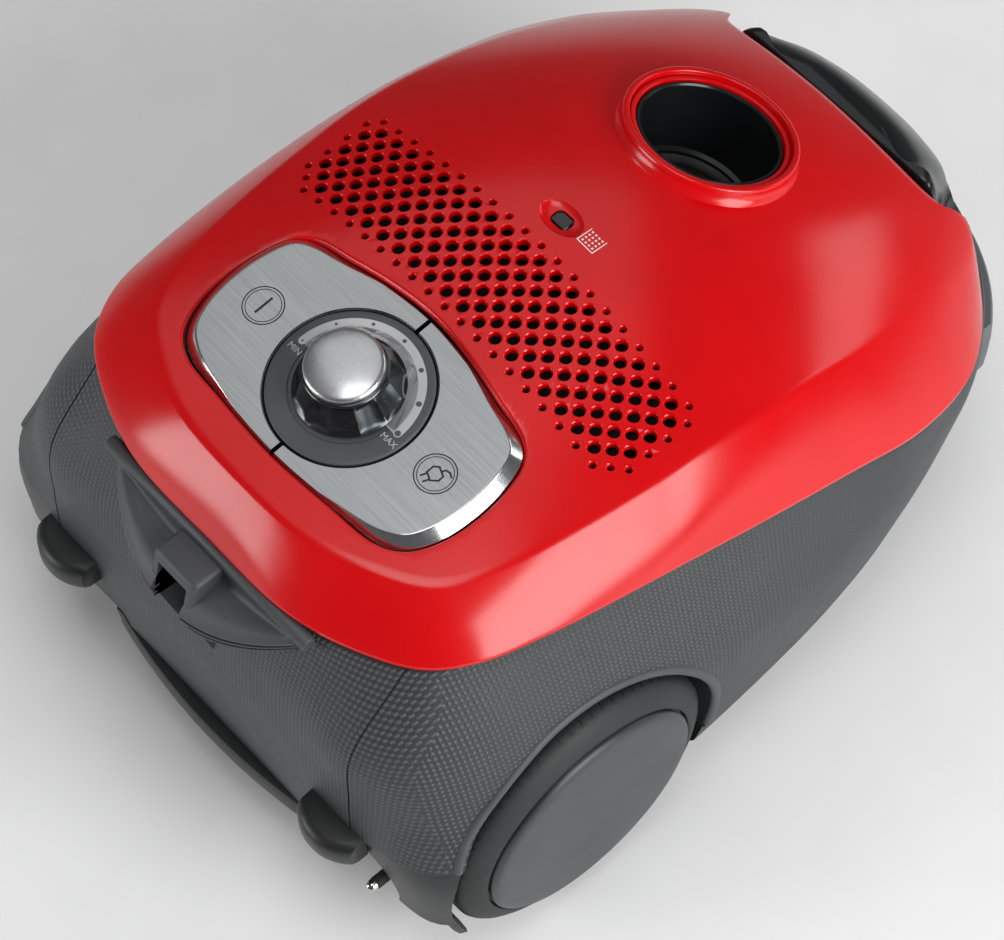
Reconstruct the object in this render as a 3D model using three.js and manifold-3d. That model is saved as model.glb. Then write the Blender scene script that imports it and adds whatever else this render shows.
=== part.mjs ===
// Canister vacuum cleaner: hinged red cover over a grey body on two large wheels and a front caster.
// Millimetres, +Z up, +Y towards the hose side, origin on the floor under the middle of the body.
import * as THREE from 'three';
import { mergeVertices } from 'three/addons/utils/BufferGeometryUtils.js';
import Module from 'manifold-3d';

const wasm = await Module();
wasm.setup();

// ---- Driving dimensions ----

const GAP = 0.3;
const WALL = 2.8;
const OUTLINE_POINTS = 40;

const WHEEL = { y: -95.6, z: 61, wellR: 65, wellX: 102.5 };
const CASTER = { y: 118, trail: 12, wheelR: 13, width: 13 };
const BODY_END = 186;
const PAN = { bottom: 30, top: 42.7 };
const BODY_BOTTOM = 43;

const INLET = { y: 81.4, z: 191.9, tilt: THREE.MathUtils.degToRad(-21.15), lipR: 34.6, lipRise: 3.6 };
const PANEL = { y: -94.7, z: 200.7, tilt: THREE.MathUtils.degToRad(6.73), dialR: 30.9, slit: 0.9 };
const KNOB = { skirtR: 21.1, capR: 14.9, height: 19.5, petals: 12 };
const HINGE = { y: -162.6, z: 168.9, pinR: 2 };
const LATCH = { halfWidth: 53 };
const REEL = { x: 56, y: -77, z: 104, r: 54, coreR: 22, half: 33 };
const MOTOR = { x: -42, z: 100, r: 45, rear: -128, front: -18 };
const PLUG = { x: 87.5, z: 49, r: 13.5, face: -157, pinLength: 19, pinSpacing: 19, pinR: 2.4 };
const DIVIDER = { y: -3, thick: 3 };

// Height of the cover's domed top above the floor at a place in plan.
function topHeight(x, y) {
  const fromCrown = y + 28.6;
  const bend = fromCrown > 0 ? 0.002018 : 0.000464;
  const crown = 0.00209 + 9.1e-6 * Math.min(fromCrown, 0);
  const ahead = Math.max(0, y + 20);
  const shoulders = (0.0006 * ahead ** 2 + 0.012 * ahead) * (Math.abs(x) / 95) ** 4;
  return 209.4 + 0.057 * fromCrown - bend * fromCrown ** 2 - crown * x ** 2 - shoulders;
}

// Height of the cover's lower edge, level at the back and dropping towards the nose.
const edgeKnots = [[-170, 172.5], [-125, 172.4], [-90, 168.6], [-45, 162.4], [-10, 154.6],
  [35, 142.8], [70, 131.7], [105, 121.5], [150, 112], [190, 112]];

function edgeHeight(y) {
  const last = edgeKnots.length - 2;
  const i = Math.min(last, Math.max(0, edgeKnots.findIndex((knot) => knot[0] > y) - 1));
  const [y0, z0] = edgeKnots[i];
  const [y1, z1] = edgeKnots[i + 1];
  const t = THREE.MathUtils.smoothstep(y, y0, y1) * 0.35 + 0.65 * THREE.MathUtils.clamp((y - y0) / (y1 - y0), 0, 1);
  return z0 + (z1 - z0) * t;
}

// Half outlines in plan, from the back centre round the right side to the front centre.
const COVER_EDGE = [[0, -163.5], [44, -162], [72, -153], [92.4, -140.4], [103.4, -123], [109.3, -99], [113.8, -69],
  [117.3, -38], [120.2, 0], [122, 45], [121.8, 82], [112, 119], [89, 148], [71, 159], [59, 152], [46, 148.5],
  [0, 147.5]];
const COVER_CREASE = [[0, -147], [38, -143.5], [63.5, -132.5], [76, -123.5], [83, -112.5], [88, -95.5], [92, -75],
  [95.5, -52], [98.5, -20], [99.5, 15], [98, 50], [95, 84], [90, 116], [83, 142], [76, 153], [66, 158.5],
  [58, 149.5], [0, 146]];
const BODY_RIM = [[0, -160.5], [44, -159], [72, -150], [91, -138], [101, -119], [106.5, -97], [111, -68], [114.5, -37],
  [117.4, 0], [119.2, 45], [119, 82], [109, 117], [87, 145], [69, 155], [56, 148.5], [0, 144.5]];
const BODY_SHOULDER = [[0, -163], [46, -162], [74, -154], [93, -142], [103, -120], [108.5, -97], [113, -68], [116.3, -37],
  [119, 0], [120.6, 45], [120, 84], [109, 121], [92, 147], [72, 164], [45, 177], [0, 182]];
const BODY_HIGH = [[0, -170.5], [55, -171], [86.6, -170], [104, -159], [116, -135], [120, -100], [122.5, -40], [123.5, 0],
  [123.5, 45], [120.5, 85], [110, 122], [93, 148], [73, 167], [45, 180], [0, 184]];
const BODY_MIDDLE = [[0, -173.5], [58, -173.5], [92, -172], [113, -163], [126, -143], [130, -110], [130, -50],
  [129.5, 0], [127, 45], [120, 86], [107, 122], [91, 148], [72, 167], [45, 179], [0, 183]];
const BODY_LOW = [[0, -173], [60, -173], [96, -172.5], [121, -168], [132, -155], [132.5, -120], [131.5, -60],
  [130, 0], [126, 45], [118, 86], [104, 121], [88, 146], [70, 164], [44, 176], [0, 181]];
const BODY_FOOT = [[0, -170], [60, -170], [96, -170], [122, -166], [132, -154], [132, -120], [130, -50], [127, 0],
  [122, 45], [113, 86], [99, 119], [83, 143], [66, 160], [42, 172], [0, 177]];
const KEY_EDGE = [[0, -37.5], [30, -35.5], [52, -32.5], [61, -26.5], [66, -16], [68, -2], [67, 13], [63, 25.5],
  [56, 31], [40, 33.8], [22, 37], [0, 39]];

// ---- Materials ----

function finish(color, roughness, metalness = 0) {
  return new THREE.MeshStandardMaterial({ color, roughness, metalness });
}

const red = finish('#d21319', 0.28);
const grey = finish('#4d5054', 0.6);
const darkGrey = finish('#33363a', 0.55);
const black = finish('#17181a', 0.45);
const glossBlack = finish('#0d0e10', 0.12);
const rubber = finish('#1c1c1d', 0.85);
const brushedMetal = finish('#b9bcbe', 0.35, 1);
const steel = finish('#c9cbcd', 0.25, 1);
const brass = finish('#b08d4a', 0.3, 1);
const copper = finish('#a0623a', 0.35, 1);
const paper = finish('#d9cfb6', 0.9);
const filterWhite = finish('#e6e7e4', 0.9);
const board = finish('#2c5a3a', 0.6);
const clear = finish('#6b4a48', 0.15);

// ---- Geometry helpers ----

function asSolid(geometry) {
  const bare = geometry.index ? geometry.clone() : geometry;
  bare.deleteAttribute('normal');
  bare.deleteAttribute('uv');
  const merged = mergeVertices(bare, 1e-4);
  return new wasm.Manifold(new wasm.Mesh({
    numProp: 3,
    vertProperties: new Float32Array(merged.attributes.position.array),
    triVerts: new Uint32Array(merged.index.array),
  }));
}

function asGeometry(solid) {
  const mesh = solid.getMesh();
  const geometry = new THREE.BufferGeometry();
  geometry.setAttribute('position', new THREE.BufferAttribute(new Float32Array(mesh.vertProperties), 3));
  geometry.setIndex(new THREE.BufferAttribute(new Uint32Array(mesh.triVerts), 1));
  geometry.computeVertexNormals();
  return geometry;
}

// Moves a solid: a tilt about X, then a shift.
function moved(geometry, x, y, z, tilt = 0) {
  return geometry.applyMatrix4(new THREE.Matrix4().makeRotationX(tilt)).translate(x, y, z);
}

function box(x0, x1, y0, y1, z0, z1) {
  return new THREE.BoxGeometry(x1 - x0, y1 - y0, z1 - z0).translate((x0 + x1) / 2, (y0 + y1) / 2, (z0 + z1) / 2);
}

// A cylinder along Z between two heights.
function rod(r, z0, z1, sides = 24) {
  return new THREE.CylinderGeometry(r, r, z1 - z0, sides).rotateX(Math.PI / 2).translate(0, 0, (z0 + z1) / 2);
}

// A turned shape about Z from [radius, height] points that close on themselves or on the axis.
function turned(points, sides = 24) {
  const profile = points.map(([r, z]) => new THREE.Vector2(r, z));
  const geometry = asSolid(new THREE.LatheGeometry(profile, sides).rotateX(Math.PI / 2));
  return asGeometry(geometry);
}

function ring(inner, outer, z0, z1, sides = 24) {
  return turned([[inner, z0], [outer, z0], [outer, z1], [inner, z1], [inner, z0]], sides);
}

// Turns a shape made about Z so that it lies along X (pointing to +X) or along Y (pointing to +Y).
const alongX = (geometry) => geometry.rotateY(Math.PI / 2);
const alongY = (geometry) => geometry.rotateX(-Math.PI / 2);

// A closed loop in plan from a half outline, mirrored and spaced evenly, starting at the back centre.
function outline(half, inset = 0, count = OUTLINE_POINTS) {
  const right = half.map(([x, y]) => new THREE.Vector3(x, y, 0));
  const left = half.slice(1, -1).reverse().map(([x, y]) => new THREE.Vector3(-x, y, 0));
  const curve = new THREE.CatmullRomCurve3([...right, ...left], true, 'centripetal');
  const points = curve.getSpacedPoints(count).slice(0, count);
  return points.map((point, i) => {
    const before = points[(i + count - 1) % count];
    const after = points[(i + 1) % count];
    const along = after.clone().sub(before).normalize();
    return [point.x - along.y * inset, point.y + along.x * inset];
  });
}

function scaled(loop, factor, cx = 0, cy = 0) {
  return loop.map(([x, y]) => [cx + (x - cx) * factor, cy + (y - cy) * factor]);
}

// Gives a plan loop its heights, from a number or from a function of x and y.
function atHeight(loop, height) {
  return loop.map(([x, y]) => new THREE.Vector3(x, y, typeof height === 'number' ? height : height(x, y)));
}

// A closed skin through loops of equal length, listed from the bottom up, with a fan at each end.
function loft(rings) {
  const count = rings[0].length;
  const vertices = rings.flat();
  const middle = (loop) => loop.reduce((sum, p) => sum.add(p), new THREE.Vector3()).divideScalar(count);
  const bottom = vertices.push(middle(rings[0])) - 1;
  const top = vertices.push(middle(rings[rings.length - 1])) - 1;
  const faces = [];
  for (let i = 0; i < count; i += 1) {
    const next = (i + 1) % count;
    faces.push(bottom, next, i);
    faces.push(top, (rings.length - 1) * count + i, (rings.length - 1) * count + next);
    for (let k = 0; k + 1 < rings.length; k += 1) {
      const low = k * count;
      const high = low + count;
      faces.push(low + i, low + next, high + next, low + i, high + next, high + i);
    }
  }
  const geometry = new THREE.BufferGeometry().setFromPoints(vertices);
  geometry.setIndex(faces);
  return geometry;
}

// A flat slab of a plan loop between two heights.
function slab(loop, z0, z1) {
  return loft([atHeight(loop, z0), atHeight(loop, z1)]);
}

function cut(base, ...tools) {
  return asGeometry(tools.reduce((solid, tool) => solid.subtract(asSolid(tool)), asSolid(base)));
}

function joined(base, ...extras) {
  return asGeometry(extras.reduce((solid, extra) => solid.add(asSolid(extra)), asSolid(base)));
}

function common(base, ...others) {
  return asGeometry(others.reduce((solid, other) => solid.intersect(asSolid(other)), asSolid(base)));
}

function mirrored(geometry) {
  const copy = geometry.clone().scale(-1, 1, 1);
  const flipped = Array.from(copy.index.array);
  for (let i = 0; i < flipped.length; i += 3) {
    [flipped[i], flipped[i + 1]] = [flipped[i + 1], flipped[i]];
  }
  copy.setIndex(flipped);
  return copy;
}

// Same rule for every wheel-side piece: made on the right (+X), mirrored for the left.
const SIDES = { right: (geometry) => geometry, left: mirrored };

// Frames of the two tilted features on the cover.
const onInlet = (geometry) => moved(geometry, 0, INLET.y, INLET.z, INLET.tilt);
const onPanel = (geometry) => moved(geometry, 0, PANEL.y, PANEL.z, PANEL.tilt);

// A coil spring along Z.
function coil(r, wire, z0, z1, turns) {
  const points = [];
  const steps = turns * 8;
  for (let i = 0; i <= steps; i += 1) {
    const angle = (i / 8) * Math.PI * 2;
    const height = z0 + wire + (z1 - z0 - 2 * wire) * (i / steps);
    points.push(new THREE.Vector3(r * Math.cos(angle), r * Math.sin(angle), height));
  }
  const section = new THREE.Shape().absarc(0, 0, wire, 0, Math.PI * 2);
  const path = new THREE.CatmullRomCurve3(points);
  return new THREE.ExtrudeGeometry(section, { steps, curveSegments: 3, extrudePath: path, bevelEnabled: false });
}

const vacuum = new THREE.Group();

function add(name, geometry, material) {
  const mesh = new THREE.Mesh(asGeometry(asSolid(geometry)), material);
  mesh.name = name;
  vacuum.add(mesh);
}

// ---- Body shell, pan, skirts ----

// Rings of the body from bottom to rim; a fraction says how far up between bottom and rim each one lies.
const bodyLevels = [[BODY_FOOT, 0], [BODY_LOW, 0.28], [BODY_MIDDLE, 0.48], [BODY_HIGH, 0.74],
  [BODY_SHOULDER, 0.95], [BODY_RIM, 1]];

function bodyLoft(inset, bottom, over = 0) {
  const rings = bodyLevels.map(([half, fraction]) => atHeight(outline(half, inset), (x, y) => {
    const rim = edgeHeight(y) - 1.2;
    return bottom + (rim - bottom) * fraction + (fraction === 1 ? over : 0);
  }));
  return loft(rings);
}

const wellCut = (r, from) => alongX(rod(r, from, 160, 36)).translate(0, WHEEL.y, WHEEL.z);
const bothSides = (geometry) => [geometry, mirrored(asGeometry(asSolid(geometry)))];
const wells = bothSides(wellCut(WHEEL.wellR, WHEEL.wellX));
const skirtZone = bothSides(box(58, 150, -195, -140, 40, 79));
const plugPocket = alongY(rod(19.4, -195, -118.5, 24)).translate(PLUG.x, 0, PLUG.z);

const bodyOuter = bodyLoft(0, BODY_BOTTOM);
const bodyInner = loft([atHeight(outline(BODY_FOOT, WALL), BODY_BOTTOM - 1),
  ...bodyLevels.slice(1, 4).map(([half, fraction]) => atHeight(outline(half, WALL),
    (x, y) => BODY_BOTTOM + (edgeHeight(y) - 1.2 - BODY_BOTTOM) * fraction - 2)),
  atHeight(outline(BODY_RIM, WALL), (x, y) => edgeHeight(y) - 7),
  atHeight(outline(BODY_RIM, WALL), (x, y) => edgeHeight(y) + 9)]);
const wellLining = common(wellCut(WHEEL.wellR + 2.5, WHEEL.wellX - 2.5), bodyOuter);
const hingeNotch = bothSides(box(16.5, 55.5, -170, -158.2, 163, 178));
const gripSeat = box(-54.5, 54.5, -185, -161, 136, 178);
const slotLining = box(-10.5, 10.5, -169, -161, 101.5, 137);
const slot = box(-8, 8, -190, -163.5, 104, 141);
const bodyHull = joined(cut(bodyOuter, bodyInner), box(-58, 58, -165, -155.5, 134, 168), slotLining);
const shell = cut(joined(bodyHull, ...bothSides(wellLining)), ...wells, ...skirtZone, plugPocket, slot,
  ...hingeNotch, gripSeat, ...bothSides(alongX(rod(5.4, 90, 110, 20)).translate(0, WHEEL.y, WHEEL.z)));
add('base_shell', shell, grey);

const skirtOuter = common(bodyLoft(GAP, BODY_BOTTOM), box(58.4, 150, -190, -141, 43.3, 78.7));
const skirtInner = common(bodyLoft(3.4, 38), box(50, 150, -190, -130, 40, 74));
const skirt = cut(skirtOuter, skirtInner, wellCut(WHEEL.wellR + 0.2, 90));
add('rear_skirt_right', cut(skirt, plugPocket), darkGrey);
add('rear_skirt_left', mirrored(skirt), darkGrey);

const panOuter = loft([atHeight(outline(BODY_FOOT, 7), PAN.bottom),
  atHeight(outline(BODY_FOOT, 1.5), PAN.bottom + 5), atHeight(outline(BODY_FOOT, 0.8), PAN.top)]);
const panInner = loft([atHeight(outline(BODY_FOOT, 8), PAN.bottom + 3),
  atHeight(outline(BODY_FOOT, 4.2), PAN.top + 1)]);
const casterBoss = rod(19, PAN.bottom, PAN.top - 1, 32).translate(0, CASTER.y, 0);
const stripPlan = new THREE.Shape();
stripPlan.moveTo(-60, -165);
stripPlan.lineTo(-60, -169);
stripPlan.quadraticCurveTo(0, -182, 60, -169);
stripPlan.lineTo(60, -165);
stripPlan.closePath();
const rearStrip = new THREE.ExtrudeGeometry(stripPlan, { depth: 11, curveSegments: 12, bevelEnabled: false });
rearStrip.translate(0, 0, 31.5);
const pan = cut(joined(cut(panOuter, panInner), casterBoss, rearStrip), ...wells,
  rod(6.4, 20, 60, 24).translate(0, CASTER.y, 0), plugPocket);
add('chassis_pan', pan, black);

const bumperBand = cut(common(loft([atHeight(outline(BODY_LOW, -5), 60), atHeight(outline(BODY_MIDDLE, -4.4), 76),
  atHeight(outline(BODY_MIDDLE, -3.4), 92)]), box(-92, 92, 128, BODY_END, 50, 100)), bodyLoft(-GAP, BODY_BOTTOM));
add('front_bumper', bumperBand, grey);

// ---- Rear grip, feet ----

const gripPlan = new THREE.Shape();
gripPlan.moveTo(-50, -164);
gripPlan.quadraticCurveTo(-30, -183, 0, -184.5);
gripPlan.quadraticCurveTo(30, -183, 50, -164);
gripPlan.closePath();
const gripBlock = new THREE.ExtrudeGeometry(gripPlan, { depth: 24, curveSegments: 12, bevelEnabled: false });
gripBlock.translate(0, 0, 141);
const gripFace = cut(gripBlock, moved(box(-60, 60, -60, 0, 0, 40), 0, -161.5, 169, THREE.MathUtils.degToRad(50)));
const hood = box(-12, 12, -184, -164, 146, 167.5);
const earRound = alongX(rod(3.2, 0, 60, 20)).translate(0, HINGE.y, HINGE.z);
const hingeEars = [18, 51].map((x) => joined(box(x, x + 3, -165.8, -161.3, 150, HINGE.z),
  common(earRound, box(x, x + 3, -165.8, -161.3, 166, 171.8))));
const gripBody = joined(common(gripFace, box(-49.9, 49.9, -190, -163.9, 137, 171)), hood,
  box(-54, 54, -165, -163.9, 152, 165), ...hingeEars, ...hingeEars.map((ear) => mirrored(asGeometry(asSolid(ear)))));
const pinHole = alongX(rod(HINGE.pinR + 0.3, -60, 60, 20)).translate(0, HINGE.y, HINGE.z);
add('rear_grip', cut(gripBody, box(-7.5, 7.5, -190, -165.6, 130, 163), pinHole), darkGrey);

// Each foot is a rounded block with a flat back, on which the cleaner stands when it's parked on end.
const footRound = rod(20.6, 60, 90, 32).translate(78, -166, 0);
const footShape = common(box(64, 93, -BODY_END, -170.6, 63, 81), footRound);
for (const [side, place] of Object.entries(SIDES)) {
  add(`parking_foot_${side}`, place(cut(footShape, bodyLoft(-3 * GAP, BODY_BOTTOM), plugPocket)), rubber);
}

// ---- Wheels ----

const wheelPieces = {
  wheel_axle: [[[0, 93], [9, 93], [9, 99.7], [5, 99.7], [5, 129], [0, 129]], steel],
  wheel_hub: [[[5.4, 103.2], [12, 103.2], [12, 122], [42, 124], [44, 107], [50, 107], [50, 130.4], [46, 130.4],
    [44, 128], [12, 126], [5.4, 126], [5.4, 103.2]], black],
  wheel_tyre: [[[50.3, 107], [58, 107], [61, 110], [61, 125.5], [58, 129], [51, 132], [50.3, 132], [50.3, 107]], rubber],
  wheel_cover: [[[0, 131.6], [44, 130.9], [49.5, 130.9], [49.5, 132.6], [47.5, 134.2], [30, 135.2], [0, 135.5]],
    darkGrey],
};
const wheelSides = { wheel_axle: 16, wheel_hub: 20, wheel_tyre: 32, wheel_cover: 32 };
for (const [side, place] of Object.entries(SIDES)) {
  for (const [name, [profile, material]] of Object.entries(wheelPieces)) {
    const piece = alongX(turned(profile, wheelSides[name])).translate(0, WHEEL.y, WHEEL.z);
    add(`${name}_${side}`, place(piece), material);
  }
}

// ---- Front caster ----

const casterWheelY = CASTER.y - CASTER.trail;
const forkHalf = CASTER.width / 2 + 3.5;
const forkBlock = joined(rod(15, 29.5 - 6, 29.6, 28).translate(0, CASTER.y, 0),
  box(-forkHalf, forkHalf, casterWheelY - 5, CASTER.y, 7.5, 29.6), rod(6, 25, 45, 24).translate(0, CASTER.y, 0));
const forkGap = joined(box(-CASTER.width / 2 - 0.6, CASTER.width / 2 + 0.6, 70, CASTER.y - 1, 5, 23.5),
  alongX(rod(CASTER.wheelR + 1.4, -7.1, 7.1, 28)).translate(0, casterWheelY, CASTER.wheelR));
const axleBore = alongX(rod(2.8, -20, 20, 16)).translate(0, casterWheelY, CASTER.wheelR);
add('caster_fork', cut(forkBlock, forkGap, axleBore), black);
const casterTread = [[3, -6.5], [11.5, -6.5], [CASTER.wheelR, -5], [CASTER.wheelR, 5], [11.5, 6.5], [3, 6.5],
  [3, -6.5]];
add('caster_wheel', alongX(turned(casterTread, 24)).translate(0, casterWheelY, CASTER.wheelR), rubber);
const casterAxle = alongX(rod(2.4, -forkHalf + 0.4, forkHalf - 0.4, 16));
add('caster_axle', casterAxle.translate(0, casterWheelY, CASTER.wheelR), steel);
add('caster_clip', ring(6.6, 10, PAN.top - 0.7, PAN.top + 0.8, 24).translate(0, CASTER.y, 0), steel);

// ---- Dust chamber ----

const chamberProfile = common(bodyLoft(WALL + 2.4, BODY_BOTTOM),
  box(-130, 130, DIVIDER.y, DIVIDER.y + DIVIDER.thick, BODY_BOTTOM + 0.5, 164));
const motorOpening = alongY(rod(24, DIVIDER.y - 5, DIVIDER.y + 8, 24)).translate(MOTOR.x, 0, MOTOR.z);
add('chamber_divider', cut(chamberProfile, motorOpening), black);
add('motor_filter', box(MOTOR.x - 38, MOTOR.x + 38, 0.4, 8.4, MOTOR.z - 34, MOTOR.z + 34), filterWhite);

const collarPlate = cut(box(-52, 52, -48, 48, -50, -48), rod(23, -60, -40, 28));
add('bag_collar', onInlet(collarPlate), paper);
const holderFrame = joined(cut(box(-60, 60, -56, 56, -54, -50.4), rod(32, -60, -40, 28)),
  box(-60, -53, -56, 56, -54, -46), box(53, 60, -56, 56, -54, -46));
add('bag_holder', onInlet(holderFrame), darkGrey);
const bagBelly = new THREE.SphereGeometry(1, 18, 9).rotateX(Math.PI / 2).scale(88, 66, 36).translate(0, 80, 84);
const bagNeck = onInlet(rod(30, -80, -54.6, 28));
add('dust_bag', joined(bagBelly, bagNeck), paper);

// ---- Motor, fan and mounts ----

const motorAt = (geometry) => alongY(geometry).translate(MOTOR.x, 0, MOTOR.z);
const motorCan = [[14, MOTOR.rear], [MOTOR.r, MOTOR.rear], [MOTOR.r, MOTOR.front - 4], [20, MOTOR.front - 4],
  [20, MOTOR.front - 7], [MOTOR.r - 3, MOTOR.front - 7], [MOTOR.r - 3, MOTOR.rear + 3], [14, MOTOR.rear + 3],
  [14, MOTOR.rear]];
add('motor_housing', motorAt(turned(motorCan, 20)), steel);
add('motor_stator', motorAt(ring(21, 36, -100, -62, 16)), copper);
const rotorShape = [[0, -124], [4, -124], [4, -112], [12, -112], [12, -104], [4, -104], [4, -99], [19.5, -99],
  [19.5, -63], [4, -63], [4, -47.3], [0, -47.3]];
add('motor_rotor', motorAt(turned(rotorShape, 14)), brass);
const fanDisc = [[0, -47], [39, -47], [39, -45.4], [12, -45.4], [8, -34], [0, -34]];
const FAN_BLADES = 5;
const fanBlades = [];
for (let i = 0; i < FAN_BLADES; i += 1) {
  fanBlades.push(box(13, 37, -1, 1, -46, -33).rotateZ((i / FAN_BLADES) * Math.PI * 2 + 0.3));
}
const fan = joined(turned(fanDisc, 20), ring(11, 38, -34.5, -33, 20), ...fanBlades);
add('fan_impeller', motorAt(fan), brushedMetal);
const mountFront = ring(25.5, 38, MOTOR.front - 3.6, DIVIDER.y - GAP, 20);
add('motor_mount_front', motorAt(mountFront), rubber);
const mountRear = ring(16, 30, MOTOR.rear - 9, MOTOR.rear - GAP, 16);
add('motor_mount_rear', motorAt(mountRear), rubber);

// ---- Cord reel, outlet and plug ----

const reelAt = (geometry) => alongX(geometry).translate(REEL.x, REEL.y, REEL.z);
const reelEnd = REEL.half;
const spool = [[5.4, -reelEnd], [REEL.r, -reelEnd], [REEL.r, 2 - reelEnd], [REEL.coreR, 2 - reelEnd],
  [REEL.coreR, reelEnd - 2], [REEL.r, reelEnd - 2], [REEL.r, reelEnd], [5.4, reelEnd], [5.4, -reelEnd]];
add('cord_reel', reelAt(turned(spool, 24)), black);
add('cord_winding', reelAt(ring(REEL.coreR + GAP, 47, 2.4 - reelEnd, reelEnd - 2.4, 20)), rubber);
add('reel_axle', reelAt(rod(5, -reelEnd - 4, reelEnd + 4, 20)), steel);
add('reel_spring_case', reelAt(ring(5.4, 24, reelEnd + 0.6, reelEnd + 8.6, 16)), steel);

const plugAt = (geometry) => alongY(geometry).translate(PLUG.x, 0, PLUG.z);
const outletProfile = [[4.6, -121.5], [17, -121.5], [17, -150], [19.1, -150], [19.1, -118.8], [4.6, -118.8],
  [4.6, -121.5]];
add('cord_outlet', plugAt(turned(outletProfile, 24)), black);
const plugProfile = [[0, PLUG.face], [PLUG.r, PLUG.face], [PLUG.r, PLUG.face + 13], [10, PLUG.face + 22],
  [6, PLUG.face + 31], [0, PLUG.face + 31]];
const pinBores = [-1, 1].map((s) => rod(PLUG.pinR + 0.1, PLUG.face - 5, PLUG.face + 6, 12)
  .translate((s * PLUG.pinSpacing) / 2, 0, 0));
add('plug_body', plugAt(cut(turned(plugProfile, 20), ...pinBores)), black);
['left', 'right'].forEach((side, i) => {
  const pin = rod(PLUG.pinR, PLUG.face - PLUG.pinLength, PLUG.face + 5.6, 12);
  pin.translate((i - 0.5) * PLUG.pinSpacing, 0, 0);
  add(`plug_pin_${side}`, plugAt(pin), steel);
});
add('cord_lead', plugAt(rod(4, PLUG.face + 31.3, -115.5, 12)), rubber);

// ---- Cover ----

function coverLoft(inset, drop, foot) {
  const crease = outline(COVER_CREASE, inset);
  const domed = (factor) => atHeight(scaled(crease, factor, 0, -10), (x, y) => topHeight(x, y) - drop);
  const edge = outline(COVER_EDGE, inset);
  const bulge = edge.map(([x, y], i) => [x * 0.5 + crease[i][0] * 0.5 + (x - crease[i][0]) * 0.1,
    y * 0.5 + crease[i][1] * 0.5 + (y - crease[i][1]) * 0.1]);
  const middle = bulge.map(([x, y], i) => new THREE.Vector3(x, y,
    0.5 * edgeHeight(edge[i][1]) + 0.5 * topHeight(...crease[i]) - drop));
  const lowest = foot ? [atHeight(edge, (x, y) => edgeHeight(y) - foot)] : [];
  return loft([...lowest, atHeight(edge, (x, y) => edgeHeight(y)), middle, domed(1), domed(0.78), domed(0.5),
    domed(0.22)]);
}

const keyOutline = (inset) => outline(KEY_EDGE, inset, 32);
const panelOpening = onPanel(slab(keyOutline(-2), -40, 30));
const inletLip = turned([[29.3, -5], [INLET.lipR, -5], [INLET.lipR, 2.4], [INLET.lipR - 1, INLET.lipRise],
  [INLET.lipR - 2.6, INLET.lipRise], [INLET.lipR - 3.2, 2], [30.2, 2], [29.3, 1.4], [29.3, -5]], 28);
const windowScoop = new THREE.SphereGeometry(1, 16, 8).scale(11, 7.5, 4).translate(0, 7, topHeight(0, 7) + 1);
const windowSlot = box(-4.2, 4.2, 3.8, 10.2, 190, 215);
const knuckle = joined(box(30, 41, -165.2, -160, 166.2, 174.4), box(30, 41, -161, -157, 172.5, 177));
const coverHull = cut(coverLoft(0, 0), coverLoft(WALL, WALL, 12));
const coverShell = cut(joined(coverHull, onInlet(inletLip), ...bothSides(knuckle)), onInlet(rod(29.25, -20, 20, 28)),
  panelOpening, windowScoop, windowSlot, pinHole);
add('lid_shell', coverShell, red);

const hingePin = alongX(rod(HINGE.pinR, 17.5, 54.5, 16)).translate(0, HINGE.y, HINGE.z);
for (const [side, place] of Object.entries(SIDES)) {
  add(`hinge_pin_${side}`, place(asGeometry(asSolid(hingePin))), steel);
}

// Hose mouth and what sits in it.
const tubeProfile = [[26.9, -44], [28.9, -44], [28.9, 1], [26.9, 1], [26.9, -30], [24.4, -31], [24.4, -38],
  [26.9, -39], [26.9, -44]];
add('inlet_tube', onInlet(turned(tubeProfile, 24)), black);
add('inlet_seal', onInlet(ring(21.5, 24.1, -37.5, -31.5)), rubber);
add('indicator_window', box(-3.9, 3.9, 4.1, 9.9, 205.8, 207.4), clear);

// ---- Control panel ----

const trayWalls = cut(slab(keyOutline(-1.6), -18, -5.2), slab(keyOutline(-0.4), -16, 5));
const potHole = rod(4.6, -30, 10, 20);
add('panel_tray', onPanel(cut(joined(asGeometry(asSolid(trayWalls)), rod(26, -17, -2.2, 32)), potHole)), black);
add('dial_plate', onPanel(turned([[4.4, -1.9], [PANEL.dialR, -1.9], [PANEL.dialR, 0], [PANEL.dialR - 0.8, 0.4],
  [4.4, 0.4], [4.4, -1.9]], 32)), darkGrey);

const keyBlank = cut(loft([atHeight(keyOutline(0), -8), atHeight(keyOutline(0), -4), atHeight(keyOutline(4), 0)]),
  rod(PANEL.dialR + 0.6, -20, 10, 32));
const keyTravel = { left: 'key_power', right: 'key_rewind' };
for (const [side, name] of Object.entries(keyTravel)) {
  const near = side === 'left' ? box(-90, -PANEL.slit, -60, 60, -20, 10) : box(PANEL.slit, 90, -60, 60, -20, 10);
  add(name, onPanel(common(keyBlank, near)), brushedMetal);
  const springX = side === 'left' ? -47 : 47;
  add(`${name}_spring`, onPanel(coil(3.5, 0.5, -15.7, -8.3, 3).translate(springX, 0, 0)), steel);
}
add('power_switch', onPanel(box(-60, -53, -6, 6, -15.7, -10.5)), black);
add('control_board', onPanel(cut(box(-58, 58, -24, 24, -20, -18.4), potHole)), board);

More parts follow.
